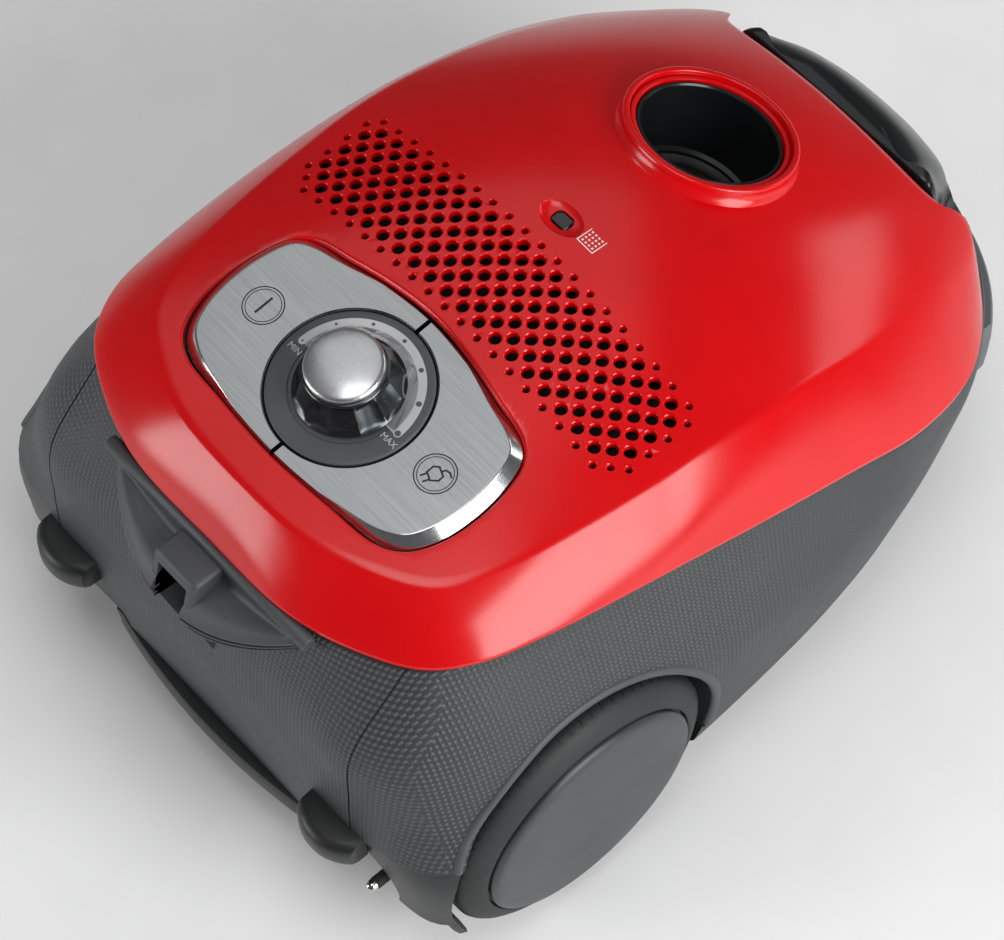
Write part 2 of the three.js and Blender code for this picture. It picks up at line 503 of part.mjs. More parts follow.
const petal = (i) => rod(2.6, 3, 30, 8).translate(23.2, 0, 0).rotateZ(((i + 0.5) / KNOB.petals) * Math.PI * 2);
const skirtProfile = [[0, 0.9], [KNOB.skirtR, 0.9], [KNOB.skirtR, 3.4], [KNOB.capR + 0.6, 14.6], [0, 14.6]];
const flutes = Array.from({ length: KNOB.petals }, (_, i) => petal(i));
add('knob_skirt', onPanel(cut(turned(skirtProfile, 36), ...flutes)), finish('#5c6064', 0.2, 1));
const capProfile = [[0, 14.9], [KNOB.capR, 14.9], [KNOB.capR, 17], [KNOB.capR - 1, 18], [8, KNOB.height - 0.4],
  [0, KNOB.height]];
add('knob_cap', onPanel(turned(capProfile, 32)), brushedMetal);
add('knob_shaft', onPanel(rod(3.9, -21.5, 0.6, 16)), steel);

// ---- Exhaust filter under the perforated field ----

add('exhaust_filter', box(-78, 78, -50, -6, 170, 190), filterWhite);

// ---- Front latch ----

const latchPlan = (front, back, half) => [[0, back], [half * 0.6, back], [half, back + 1], [half - 1, back + 6],
  [half * 0.72, front - 6], [half * 0.4, front - 1.5], [0, front]];
const latchRings = [[latchPlan(183, 164, LATCH.halfWidth), 117], [latchPlan(182, 154, LATCH.halfWidth), 121],
  [latchPlan(176, 152.2, LATCH.halfWidth), 131], [latchPlan(168, 151.8, LATCH.halfWidth - 2), 141],
  [latchPlan(160, 152.5, LATCH.halfWidth - 7), 146]];
const latchHandle = loft(latchRings.map(([half, z]) => atHeight(outline(half, 0, 40), z)));
add('latch_handle', latchHandle, glossBlack);
add('latch_catch', box(-12, 12, 153, 159, 111.3, 115), black);

export default vacuum;
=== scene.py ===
# %% [markdown]
# # A canister vacuum cleaner
# The cleaner has a glossy red cover over a grey body on two large side wheels and a small front caster.
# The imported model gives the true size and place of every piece, and this script dresses each one.
# It works in metres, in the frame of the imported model: +Y is the hose end, +Z is up, +X is the right side.

# %% Load the frame
import math

import bmesh
import bpy
from mathutils import Matrix, Vector
from mathutils.bvhtree import BVHTree


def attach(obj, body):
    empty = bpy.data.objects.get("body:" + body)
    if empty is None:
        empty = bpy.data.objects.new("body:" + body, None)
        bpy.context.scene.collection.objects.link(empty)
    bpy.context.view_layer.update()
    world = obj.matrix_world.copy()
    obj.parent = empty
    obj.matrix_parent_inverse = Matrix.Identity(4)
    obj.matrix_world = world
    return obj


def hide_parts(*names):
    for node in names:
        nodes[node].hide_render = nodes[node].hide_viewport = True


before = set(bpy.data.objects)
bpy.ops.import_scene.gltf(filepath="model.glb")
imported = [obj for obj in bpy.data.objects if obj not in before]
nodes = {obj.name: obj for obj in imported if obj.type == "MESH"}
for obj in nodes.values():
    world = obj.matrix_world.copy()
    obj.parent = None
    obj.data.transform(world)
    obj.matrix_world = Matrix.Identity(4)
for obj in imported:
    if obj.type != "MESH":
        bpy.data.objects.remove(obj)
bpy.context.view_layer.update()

MM = 0.001

# %% [markdown]
# ## Camera
# The camera stands behind and to the right of the cleaner and looks steeply down on it.
# A long lens keeps the far end nearly as large as the near one, as in a catalogue picture.

# %% Camera
CAMERA_PLACE = Vector((0.5652, -0.5244, 1.3335))
CAMERA_RIGHT = Vector((0.6641, 0.7476, 0.0))
CAMERA_UP = Vector((-0.6426, 0.5708, 0.5111))

lens = bpy.data.cameras.new("catalogue_lens")
lens.lens = 134.6
lens.sensor_width = 36
lens.clip_start = 0.05
camera = bpy.data.objects.new("catalogue_camera", lens)
turn = Matrix((CAMERA_RIGHT, CAMERA_UP, CAMERA_RIGHT.cross(CAMERA_UP))).transposed()
camera.matrix_world = Matrix.Translation(CAMERA_PLACE) @ turn.to_4x4()
bpy.context.scene.collection.objects.link(camera)
bpy.context.scene.camera = camera
print("camera", [round(v, 3) for v in camera.location])

# %% [markdown]
# ## Light
# Glossy plastic shows its shape by what it mirrors, so the lights are large soft panels.
# One long panel low on the right draws the pale streak along the red side band, one behind does the same
# for the back, and a broad one overhead lights the top evenly.

# %% Lights and floor
def soft_panel(name, place, aim, width, height, watts):
    """A rectangular area light at place, facing aim."""
    light = bpy.data.lights.new(name, "AREA")
    light.shape = "RECTANGLE"
    light.size = width
    light.size_y = height
    light.energy = watts
    panel = bpy.data.objects.new(name, light)
    direction = Vector(aim) - Vector(place)
    panel.rotation_euler = direction.to_track_quat("-Z", "Y").to_euler()
    panel.location = place
    bpy.context.scene.collection.objects.link(panel)
    return panel


soft_panel("right_panel", (1.5, 0.12, 0.78), (0.0, 0.0, 0.1), 0.95, 1.25, 27)
soft_panel("rear_panel", (-0.75, -1.4, 0.5), (0, -0.1, 0.15), 0.7, 0.7, 9)
soft_panel("key_panel", (0.3, -0.3, 2.3), (0, 0, 0.1), 1.0, 1.0, 10)
soft_panel("overhead_panel", (-0.7, 0.45, 1.8), (0, 0, 0.1), 1.7, 1.5, 5)
soft_panel("front_panel", (0.5, 1.7, 0.7), (0, 0.1, 0.1), 1.0, 0.5, 3)

sky = bpy.data.worlds.new("pale_studio")
bpy.context.scene.world = sky
sky.use_nodes = True
sky.node_tree.nodes["Background"].inputs["Color"].default_value = (1, 1, 1, 1)
sky.node_tree.nodes["Background"].inputs["Strength"].default_value = 0.13
bpy.context.scene.view_settings.view_transform = "Standard"

# %% [markdown]
# ## Helpers for materials
# A material is a small network of nodes. One helper adds a node with its settings and links, and another
# turns the hex colours that designers quote, which are sRGB, into the linear values that light is computed with.

# %% Material helpers
def linear(hex_colour):
    """'#rrggbb' in sRGB to linear RGBA."""
    channels = [int(hex_colour[i:i + 2], 16) / 255 for i in (1, 3, 5)]
    return tuple(c / 12.92 if c <= 0.04045 else ((c + 0.055) / 1.055) ** 2.4 for c in channels) + (1.0,)


def put(tree, kind, inputs=None, **settings):
    """Adds one node; inputs are values or the output sockets to link."""
    made = tree.nodes.new(kind)
    for key, value in settings.items():
        setattr(made, key, value)
    for key, value in (inputs or {}).items():
        if isinstance(value, bpy.types.NodeSocket):
            tree.links.new(value, made.inputs[key])
        else:
            made.inputs[key].default_value = value
    return made


def material(name, **sockets):
    """A new material and its node tree, shader and object coordinates, with plain values on the shader's sockets."""
    made = bpy.data.materials.new(name)
    made.use_nodes = True
    tree = made.node_tree
    shader = tree.nodes["Principled BSDF"]
    for key, value in sockets.items():
        shader.inputs[key.replace("_", " ")].default_value = value
    place = put(tree, "ShaderNodeTexCoord").outputs["Object"]
    return made, tree, shader, place


def vary(tree, place, scale, low, high, detail=2.0, stretch=None):
    """Noise of one size, as a value from low to high. stretch scales the coordinates first."""
    if stretch:
        place = put(tree, "ShaderNodeMapping", {"Vector": place, "Scale": stretch}).outputs[0]
    noise = put(tree, "ShaderNodeTexNoise", {"Vector": place, "Scale": scale, "Detail": detail})
    return put(tree, "ShaderNodeMapRange", {"Value": noise.outputs[0], "From Min": 0.3, "From Max": 0.7,
                                            "To Min": low, "To Max": high}).outputs[0]


def tint(tree, factor, first, second):
    """Mixes two hex colours by a factor."""
    mixed = put(tree, "ShaderNodeMix", {"Factor": factor, 6: linear(first), 7: linear(second)}, data_type="RGBA")
    return mixed.outputs[2]


def relief(tree, shader, height, depth_mm, strength=1.0, under=None):
    """Drives the shader's normal from a height of 0 to 1, depth_mm tall."""
    inputs = {"Height": height, "Distance": depth_mm * MM, "Strength": strength}
    if under:
        inputs["Normal"] = under
    bump = put(tree, "ShaderNodeBump", inputs)
    tree.links.new(bump.outputs[0], shader.inputs["Normal"])
    return bump.outputs[0]


def per_mm(size_mm):
    """Noise scale, in cycles per metre, for a feature of this size."""
    return 1 / (size_mm * MM)

# %% [markdown]
# ## Plastics
# The cover is injection-moulded ABS from a polished tool: the skin is a mirror with a very faint orange peel.
# The body is polypropylene from a tool etched with small staggered pips, which fade out towards the front and the foot.

# %% Plastics
def plastic(name, dark, light, roughness, grain_mm, grain_depth, coat=0.0, ior=1.5, spread=0.05, level=0.5):
    """Moulded plastic: a slight drift of colour and gloss over centimetres, and a fine grain."""
    made, tree, shader, place = material(name, IOR=ior, Specular_IOR_Level=level, Coat_Weight=coat, Coat_Roughness=0.06)
    drift = vary(tree, place, per_mm(40), 0, 1)
    tree.links.new(tint(tree, drift, dark, light), shader.inputs["Base Color"])
    gloss = vary(tree, place, per_mm(18), roughness - spread / 2, roughness + spread / 2, 4)
    tree.links.new(gloss, shader.inputs["Roughness"])
    relief(tree, shader, vary(tree, place, per_mm(grain_mm), 0, 1, 3), grain_depth)
    return made


red_abs = plastic("polished_red_abs", "#ca0006", "#d20209", 0.2, 4.0, 0.006, level=0.5, spread=0.04)
ribbed_black_abs = plastic("satin_black_abs", "#151617", "#1b1c1e", 0.42, 0.5, 0.02)
gloss_black_abs = plastic("polished_black_abs", "#121416", "#181b1d", 0.24, 5.0, 0.006)
smooth_grey_abs = plastic("spark_eroded_grey_abs", "#3b3e41", "#424548", 0.5, 0.45, 0.03)
dark_grey_abs = plastic("dark_grey_abs", "#16181a", "#1b1d1f", 0.4, 0.5, 0.02)
nose_grey_abs = plastic("mid_grey_abs", "#55585b", "#5c5f62", 0.45, 0.5, 0.02)
disc_grey_abs = plastic("satin_wheel_disc_abs", "#2c2f32", "#313437", 0.4, 0.6, 0.015)
dial_grey_abs = plastic("matt_dial_abs", "#47494c", "#4e5053", 0.5, 0.4, 0.02)
smoked_acrylic = plastic("smoked_acrylic", "#120d0d", "#1b1414", 0.08, 6.0, 0.003, coat=0.5)
scale_paint = plastic("pale_grey_pad_print", "#b9babb", "#c4c5c6", 0.5, 0.3, 0.005)
engraving_fill = plastic("dark_engraving_fill", "#2c2e30", "#343638", 0.5, 0.3, 0.01)
white_ink = plastic("white_pad_print", "#e4e0de", "#efecea", 0.45, 0.3, 0.005)
dot_paint = plastic("grey_pad_print", "#4a4c4e", "#525456", 0.5, 0.3, 0.005)


def etched_polypropylene():
    """Grey polypropylene with rows of pips 2.1 mm apart, staggered, fading towards the front and the foot."""
    made, tree, shader, place = material("etched_grey_polypropylene", IOR=1.49)
    pitch = 2.1 * MM
    split = put(tree, "ShaderNodeSeparateXYZ", {"Vector": place}).outputs
    # Distance round the wall stands in for the sideways coordinate: x on the back, y on the sides.
    normal = put(tree, "ShaderNodeNewGeometry").outputs["Normal"]
    facing = put(tree, "ShaderNodeSeparateXYZ", {"Vector": normal}).outputs
    side = put(tree, "ShaderNodeMath", {0: facing[0]}, operation="ABSOLUTE").outputs[0]
    on_side = put(tree, "ShaderNodeMath", {0: side, 1: 0.72}, operation="GREATER_THAN").outputs[0]
    along = put(tree, "ShaderNodeMix", {"Factor": on_side, 2: split[0], 3: split[1]}).outputs[0]

    def wave(value, length, shift=0.0):
        angle = put(tree, "ShaderNodeMath", {0: value, 1: 2 * math.pi / length, 2: shift},
                    operation="MULTIPLY_ADD").outputs[0]
        return put(tree, "ShaderNodeMath", {0: angle}, operation="SINE").outputs[0]

    across = put(tree, "ShaderNodeMath", {0: along, 1: split[2]}, operation="ADD").outputs[0]
    against = put(tree, "ShaderNodeMath", {0: along, 1: split[2]}, operation="SUBTRACT").outputs[0]
    pips = put(tree, "ShaderNodeMath", {0: wave(across, 2 * pitch), 1: wave(against, 2 * pitch)},
               operation="MULTIPLY").outputs[0]
    raised = put(tree, "ShaderNodeMapRange", {"Value": pips, "From Min": -0.1, "From Max": 0.9}).outputs[0]
    low_fade = put(tree, "ShaderNodeMapRange", {"Value": split[2], "From Min": 0.05, "From Max": 0.09}).outputs[0]
    front_fade = put(tree, "ShaderNodeMapRange", {"Value": split[1], "From Min": 0.06, "From Max": -0.02}).outputs[0]
    shown = put(tree, "ShaderNodeMath", {0: low_fade, 1: front_fade}, operation="MULTIPLY").outputs[0]
    height = put(tree, "ShaderNodeMath", {0: raised, 1: shown}, operation="MULTIPLY").outputs[0]
    grain = relief(tree, shader, vary(tree, place, per_mm(0.5), 0, 1, 3), 0.03)
    relief(tree, shader, height, 0.4, 0.8, under=grain)
    drift = vary(tree, place, per_mm(45), 0, 1)
    base = put(tree, "ShaderNodeMix", {"Factor": drift, 6: linear("#2a2d30"), 7: linear("#2f3235")},
               data_type="RGBA").outputs[2]
    # Painted highlight: the raised pips are painted lighter in proportion to their height.
    pip_highlight = put(tree, "ShaderNodeMath", {0: height, 1: 0.28}, operation="MULTIPLY").outputs[0]
    pip_highlighted_colour = put(tree, "ShaderNodeMix", {"Factor": pip_highlight, 6: base, 7: linear("#7d8184")}, data_type="RGBA").outputs[2]
    tree.links.new(pip_highlighted_colour, shader.inputs["Base Color"])
    tree.links.new(vary(tree, place, per_mm(15), 0.46, 0.52, 3), shader.inputs["Roughness"])
    return made


etched_grey = etched_polypropylene()
print("plastics", len(bpy.data.materials))

# %% [markdown]
# ## Metals, rubber and the rest
# The keys are aluminium brushed along X, the knob's flank is dark chrome plate, and its cap is
# turned aluminium. Rubber is nearly black and scatters light widely.

# %% Metals, rubber, paper
def metal(name, dark, light, roughness, lines=None, line_depth=0.004, **sockets):
    """Metal with a drift of tone; lines is a stretch that draws noise out into brushing."""
    made, tree, shader, place = material(name, Metallic=1.0, **sockets)
    streaks = vary(tree, place, per_mm(2.0), 0, 1, 4, stretch=lines or (1, 1, 1))
    tree.links.new(tint(tree, streaks, dark, light), shader.inputs["Base Color"])
    gloss = vary(tree, place, per_mm(6.0), roughness * 0.85, roughness * 1.15, 3, stretch=lines)
    tree.links.new(gloss, shader.inputs["Roughness"])
    relief(tree, shader, streaks, line_depth)
    return made


brushed_aluminium = metal("brushed_aluminium", "#a9acae", "#c2c5c7", 0.33, (0.06, 6, 6), 0.004)
bright_aluminium = metal("diamond_cut_aluminium", "#c6c8ca", "#d4d6d8", 0.14)
turned_aluminium = metal("turned_aluminium", "#c9cbcc", "#cfd1d2", 0.3, line_depth=0.0006)
dark_chrome = metal("dark_chrome_plate", "#4c5053", "#54585b", 0.2, line_depth=0.001)
bright_steel = metal("bright_steel", "#b5b7b8", "#c6c8c9", 0.2)
nickel_plate = metal("nickel_plate", "#b9b6ae", "#cbc8c0", 0.16)
zinc_steel = metal("zinc_plated_steel", "#8d9092", "#9da0a2", 0.35)
copper_wire = metal("enamelled_copper_wire", "#8a4a28", "#a55c33", 0.32, (1, 8, 1), 0.05)

tread_rubber = plastic("tread_rubber", "#17191a", "#1e2021", 0.62, 0.8, 0.05)
soft_rubber = plastic("moulded_rubber", "#101112", "#161718", 0.55, 0.7, 0.04)
filter_card = plastic("unbleached_card", "#b39a6e", "#c2aa7d", 0.85, 0.9, 0.08)
filter_paper = plastic("filter_paper", "#c9bfa6", "#d6cdb6", 0.9, 1.4, 0.15)
white_fleece = plastic("white_filter_fleece", "#d5d6d2", "#e2e3df", 0.95, 1.0, 0.3)
# The exhaust filter's foam is painted nearly black, painted shade, so the vents in the cover look dark inside.
shade_black_foam = plastic("painted_shade_filter_foam", "#08090a", "#0e0f10", 0.95, 1.2, 0.4)
board_laminate = plastic("green_board_laminate", "#1d4a30", "#245537", 0.4, 1.0, 0.01)
floor_paint = plastic("matt_white_floor", "#f4f4f4", "#f7f7f7", 0.7, 30.0, 0.01)
print("all materials", len(bpy.data.materials))

# %% [markdown]
# ## Helpers for shapes
# Every piece starts as a bmesh. A moulded shell is a grid of faces wrapped round a stack of outlines, and a turned
# piece is a profile spun about its axis. The helpers make the piece's mesh, set which edges are crisp, and hang
# the piece on its moving body.

# %% Shape helpers
def finish_piece(name, bm, body, look, replaces=(), crisp=32, merge=1e-6, recalc=True):
    """Turns a bmesh in millimetres into a piece that rides on a body; edges sharper than crisp degrees stay crisp."""
    bmesh.ops.remove_doubles(bm, verts=bm.verts, dist=merge)
    if recalc:
        bmesh.ops.recalc_face_normals(bm, faces=bm.faces)
    bmesh.ops.scale(bm, vec=(MM, MM, MM), verts=bm.verts)
    mesh = bpy.data.meshes.new(name)
    bm.to_mesh(mesh)
    bm.free()
    piece = bpy.data.objects.new(name, mesh)
    bpy.context.scene.collection.objects.link(piece)
    for one in look if isinstance(look, (list, tuple)) else [look]:
        mesh.materials.append(one)
    shade(piece, crisp)
    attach(piece, body)
    if replaces:
        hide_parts(*([replaces] if isinstance(replaces, str) else replaces))
    print(f"{name}: {len(mesh.polygons)} faces")
    return piece


def shade(piece, crisp):
    """Smooth faces, with edges sharper than crisp degrees marked sharp."""
    bm = bmesh.new()
    bm.from_mesh(piece.data)
    limit = math.radians(crisp)
    for face in bm.faces:
        face.smooth = True
    for edge in bm.edges:
        edge.smooth = len(edge.link_faces) == 2 and edge.calc_face_angle(0) < limit
    bm.to_mesh(piece.data)
    bm.free()


def cutter(bm):
    """A loose object to cut with, from a bmesh in millimetres."""
    bmesh.ops.remove_doubles(bm, verts=bm.verts, dist=1e-5)
    bmesh.ops.recalc_face_normals(bm, faces=bm.faces)
    bmesh.ops.scale(bm, vec=(MM, MM, MM), verts=bm.verts)
    mesh = bpy.data.meshes.new("cutter")
    bm.to_mesh(mesh)
    bm.free()
    made = bpy.data.objects.new("cutter", mesh)
    bpy.context.scene.collection.objects.link(made)
    return made


def carve(piece, *tools, operation="DIFFERENCE", solver="MANIFOLD", crisp=32):
    """Cuts with (or joins, or keeps what is common with) each tool, and throws the tools away."""
    before = len(piece.data.polygons)
    for tool in tools:
        step = piece.modifiers.new("carve", "BOOLEAN")
        step.object = tool
        step.operation = operation
        step.solver = solver
        bpy.context.view_layer.update()
        graph = bpy.context.evaluated_depsgraph_get()
        result = bpy.data.meshes.new_from_object(piece.evaluated_get(graph))
        piece.modifiers.clear()
        piece.data = result
        bpy.data.objects.remove(tool)
    shade(piece, crisp)
    print(f"{piece.name}: {before} faces before the cut, {len(piece.data.polygons)} after")


def wrap(rows, closed_profile=False):
    """A skin over rows of equally many points, each row a closed loop. A closed profile joins the last row
    to the first; an open one gets a flat face over each end loop."""
    rows = rows + [rows[0]] if closed_profile else rows
    count = len(rows[0])
    bm = bmesh.new()
    bmesh.ops.create_grid(bm, x_segments=count, y_segments=len(rows) - 1, size=0.5)
    for vertex in bm.verts:
        column = round((vertex.co.x + 0.5) * count) % count
        row = round((vertex.co.y + 0.5) * (len(rows) - 1))
        vertex.co = rows[row][column]
    bmesh.ops.remove_doubles(bm, verts=bm.verts, dist=1e-4)
    if not closed_profile:
        bmesh.ops.holes_fill(bm, edges=[e for e in bm.edges if e.is_boundary], sides=0)
    return bm


def smooth_loop(half, count):
    """Evenly spaced points on a smooth closed curve through a half outline and its mirror image.
    The curve is a centripetal spline, which doesn't overshoot at tight corners."""
    knots = [Vector((x, y)) for x, y in half] + [Vector((-x, y)) for x, y in reversed(half[1:-1])]
    dense = []
    for i in range(len(knots)):
        p = [knots[(i + k) % len(knots)] for k in (-1, 0, 1, 2)]
        t = [0.0]
        for a, b in zip(p, p[1:]):
            t.append(t[-1] + (b - a).length ** 0.5)
        for k in range(40):
            u = t[1] + (t[2] - t[1]) * k / 40
            a = [p[j] * ((t[j + 1] - u) / (t[j + 1] - t[j])) + p[j + 1] * ((u - t[j]) / (t[j + 1] - t[j]))
                 for j in range(3)]
            b = [a[j] * ((t[j + 2] - u) / (t[j + 2] - t[j])) + a[j + 1] * ((u - t[j]) / (t[j + 2] - t[j]))
                 for j in range(2)]
            dense.append(b[0] * ((t[2] - u) / (t[2] - t[1])) + b[1] * ((u - t[1]) / (t[2] - t[1])))
    dense.append(dense[0])
    lengths = [0.0]
    for a, b in zip(dense, dense[1:]):
        lengths.append(lengths[-1] + (b - a).length)
    spaced, j = [], 0
    for i in range(count):
        goal = lengths[-1] * i / count
        while lengths[j + 1] < goal:
            j += 1
        share = (goal - lengths[j]) / (lengths[j + 1] - lengths[j])
        spaced.append(dense[j].lerp(dense[j + 1], share))
    return spaced


def inset(loop, by):
    """The loop moved inwards by a distance, along its own normals."""
    moved = []
    for i, point in enumerate(loop):
        along = (loop[(i + 1) % len(loop)] - loop[i - 1]).normalized()
        moved.append(Vector((point.x - along.y * by, point.y + along.x * by)))
    return moved


def at_height(loop, height):
    """Plan points lifted to a number or to a function of x and y."""
    return [Vector((p.x, p.y, height(p.x, p.y) if callable(height) else height)) for p in loop]


def spun(profile, steps=96, axis="Z"):
    """A turned shape from (radius, height) points; a closed profile, or one whose ends lie on the axis."""
    bm = bmesh.new()
    chain = [bm.verts.new((r, 0, h)) for r, h in profile]
    edges = [bm.edges.new(pair) for pair in zip(chain, chain[1:])]
    if profile[0][0] > 0:
        edges.append(bm.edges.new((chain[-1], chain[0])))
    bmesh.ops.spin(bm, geom=chain + edges, cent=(0, 0, 0), axis=(0, 0, 1), angle=2 * math.pi, steps=steps,
                   use_merge=True, use_duplicate=False)
    bmesh.ops.remove_doubles(bm, verts=bm.verts, dist=1e-4)
    if axis == "X":
        bmesh.ops.rotate(bm, verts=bm.verts, cent=(0, 0, 0), matrix=Matrix.Rotation(math.pi / 2, 3, "Y"))
    if axis == "Y":
        bmesh.ops.rotate(bm, verts=bm.verts, cent=(0, 0, 0), matrix=Matrix.Rotation(-math.pi / 2, 3, "X"))
    return bm


def block(x0, x1, y0, y1, z0, z1, round_by=0.0, segments=3):
    """A rectangular block with rounded edges."""
    bm = bmesh.new()
    bmesh.ops.create_cube(bm, size=1)
    bmesh.ops.scale(bm, vec=(x1 - x0, y1 - y0, z1 - z0), verts=bm.verts)
    bmesh.ops.translate(bm, vec=((x0 + x1) / 2, (y0 + y1) / 2, (z0 + z1) / 2), verts=bm.verts)
    if round_by:
        bmesh.ops.bevel(bm, geom=bm.edges, offset=round_by, offset_type="OFFSET", affect="EDGES",
                        segments=segments, profile=0.5, material=-1)
    return bm


def shift(bm, x=0.0, y=0.0, z=0.0, tilt=0.0):
    """Turns about X by degrees, then moves."""
    bmesh.ops.rotate(bm, verts=bm.verts, cent=(0, 0, 0), matrix=Matrix.Rotation(math.radians(tilt), 3, "X"))
    bmesh.ops.translate(bm, vec=(x, y, z), verts=bm.verts)
    return bm


def mirror_x(bm):
    bmesh.ops.scale(bm, vec=(-1, 1, 1), verts=bm.verts)
    bmesh.ops.reverse_faces(bm, faces=bm.faces)
    return bm


def together(*parts):
    """One bmesh from several."""
    whole = bmesh.new()
    for part in parts:
        loose = bpy.data.meshes.new("loose")
        part.to_mesh(loose)
        part.free()
        whole.from_mesh(loose)
        bpy.data.meshes.remove(loose)
    return whole


def between(start, end, share):
    return start + (end - start) * share


# %% [markdown]
# ## The cover's shape
# The cover is a domed skin. In plan it is bounded by a crease, outside which the side band rolls down to the lower
# edge. The dome is a shallow curve with its highest point between the keys and the vents, and these functions
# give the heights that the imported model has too.

# %% Cover outlines and heights
AROUND = 240
CREASE = [(0, -147), (38, -143.5), (63.5, -132.5), (76, -123.5), (83, -112.5), (88, -95.5), (92, -75),
          (95.5, -52), (98.5, -20), (99.5, 15), (98, 50), (95, 84), (90, 116), (83, 142), (76, 153),
          (66, 158.5), (58, 149.5), (0, 146)]
LOWER_EDGE = [(0, -163.5), (44, -162), (72, -153), (92.4, -140.4), (103.4, -123), (109.3, -99), (113.8, -69),
              (117.3, -38), (120.2, 0), (122, 45), (121.8, 82), (112, 119), (89, 148), (71, 159), (59, 152),
              (46, 148.5), (0, 147.5)]
EDGE_KNOTS = [(-170, 172.5), (-125, 172.4), (-90, 168.6), (-45, 162.4), (-10, 154.6), (35, 142.8), (70, 131.7),
              (105, 121.5), (150, 112), (190, 112)]


def top_height(x, y):
    from_crown = y + 28.6
    bend = 0.002018 if from_crown > 0 else 0.000464
    crown = 0.00209 + 9.1e-6 * min(from_crown, 0)
    ahead = max(0, y + 20)
    shoulders = (0.0006 * ahead ** 2 + 0.012 * ahead) * (abs(x) / 95) ** 4
    return 209.4 + 0.057 * from_crown - bend * from_crown ** 2 - crown * x ** 2 - shoulders


def edge_height(y):
    """Lower edge of the cover: a smooth curve through the knots."""
    ys = [k[0] for k in EDGE_KNOTS]
    i = max(1, min(len(ys) - 3, next((n for n, v in enumerate(ys) if v > y), len(ys)) - 1))
    (y0, z0), (y1, z1) = EDGE_KNOTS[i], EDGE_KNOTS[i + 1]
    before, after = EDGE_KNOTS[i - 1], EDGE_KNOTS[i + 2]
    t = min(1, max(0, (y - y0) / (y1 - y0)))
    m0 = (z1 - before[1]) / (y1 - before[0]) * (y1 - y0)
    m1 = (after[1] - z0) / (after[0] - y0) * (y1 - y0)
    return ((2 * t ** 3 - 3 * t ** 2 + 1) * z0 + (t ** 3 - 2 * t ** 2 + t) * m0
            + (-2 * t ** 3 + 3 * t ** 2) * z1 + (t ** 3 - t ** 2) * m1)


crease_loop = smooth_loop(CREASE, AROUND)
lower_loop = smooth_loop(LOWER_EDGE, AROUND)
print("crown of the cover", round(top_height(0, -28.6), 1), "mm above the floor")

# %% [markdown]
# ## The cover's skin
# From the bottom, the skin is a short upright return that looks dark red, then the band, which bulges a little,
# then the crease, a rounding 2 mm wide, and then the dome, whose rows shrink towards a point in the small window,
# where the window's own cut hides the place where they meet. A second skin 2.8 mm inside makes the wall.

# %% Cover rows
WALL = 2.8
DOME_POLE = Vector((0, 7))


def dome_rows(shares, loop, drop=0.0):
    return [at_height([DOME_POLE + (p - DOME_POLE) * share for p in loop], lambda x, y: top_height(x, y) - drop)
            for share in shares]


def band_row(share, crease, lower):
    """A row of the side band, from its foot at share 0 to the crease at share 1."""
    row = []
    for c, e in zip(crease, lower):
        top = Vector((c.x, c.y, top_height(c.x, c.y)))
        foot = Vector((e.x, e.y, edge_height(e.y) + 2.8))
        bend = Vector((between(c.x, e.x, 0.62), between(c.y, e.y, 0.62), between(top.z, foot.z, 0.44)))
        row.append(top * share ** 2 + bend * 2 * share * (1 - share) + foot * (1 - share) ** 2)
    return row


def cover_rows():
    feet = inset(lower_loop, 0.3)
    rows = [at_height(inset(lower_loop, by), lambda x, y, up=up: edge_height(y) + up)
            for by, up in ((WALL, 0.0), (0.9, 0.0), (0.35, 0.35), (0.05, 2.1), (0.12, 2.5))]
    rows += [band_row(share, crease_loop, feet) for share in (0, 0.02, 0.1, 0.22, 0.34, 0.46, 0.58, 0.7, 0.8, 0.88,
                                                             0.94, 0.975)]
    rows += dome_rows([0.9925] + [0.978 - 0.03 * k for k in range(32)] + [0.0], crease_loop)
    inner_crease, inner_lower = inset(crease_loop, WALL), inset(lower_loop, WALL)
    rows += dome_rows([0.0, 0.25, 0.5, 0.75, 0.99], inner_crease, WALL)
    for share in (0.8, 0.5, 0.2):
        rows.append([p - Vector((0, 0, WALL)) for p in band_row(share, inner_crease, inner_lower)])
    return rows


cover = finish_piece("cover_shell", wrap(cover_rows(), closed_profile=True), "lid", red_abs, "lid_shell",
                     crisp=38)

# %% [markdown]
# ## Openings in the cover
# Each opening is cut with a shaped tool, so its edge gets the small rounding that a mould gives.
# The field of vents is ten rows, staggered by half a pitch, with smaller holes round its border.

# %% Key opening, hose opening, window slot
KEY_EDGE = [(0, -37.5), (30, -35.5), (52, -32.5), (61, -26.5), (66, -16), (68, -2), (67, 13), (63, 25.5), (56, 31),
            (40, 33.8), (22, 37), (0, 39)]
PANEL_PLACE = dict(y=-94.7, z=200.7, tilt=6.73)
INLET_PLACE = dict(y=81.4, z=191.9, tilt=-21.15)
key_loop = smooth_loop(KEY_EDGE, 160)


def on_panel(bm):
    return shift(bm, **PANEL_PLACE)


def on_inlet(bm):
    return shift(bm, **INLET_PLACE)


def key_opening():
    rows = []
    for by, up in ((-0.45, None), (-0.45, -1.5), (-0.7, -0.75), (-1.2, -0.25), (-1.9, 0.03), (-2.6, 0.4), (-2.6, 12)):
        plan = [Vector((p.x, p.y + PANEL_PLACE["y"])) for p in inset(key_loop, by)]
        rows.append(at_height(plan, 165 if up is None else lambda x, y, up=up: top_height(x, y) + up))
    return cutter(wrap(rows))


hose_hole = cutter(on_inlet(spun([(0, -40), (31.5, -40), (31.5, 25), (0, 25)], 96)))


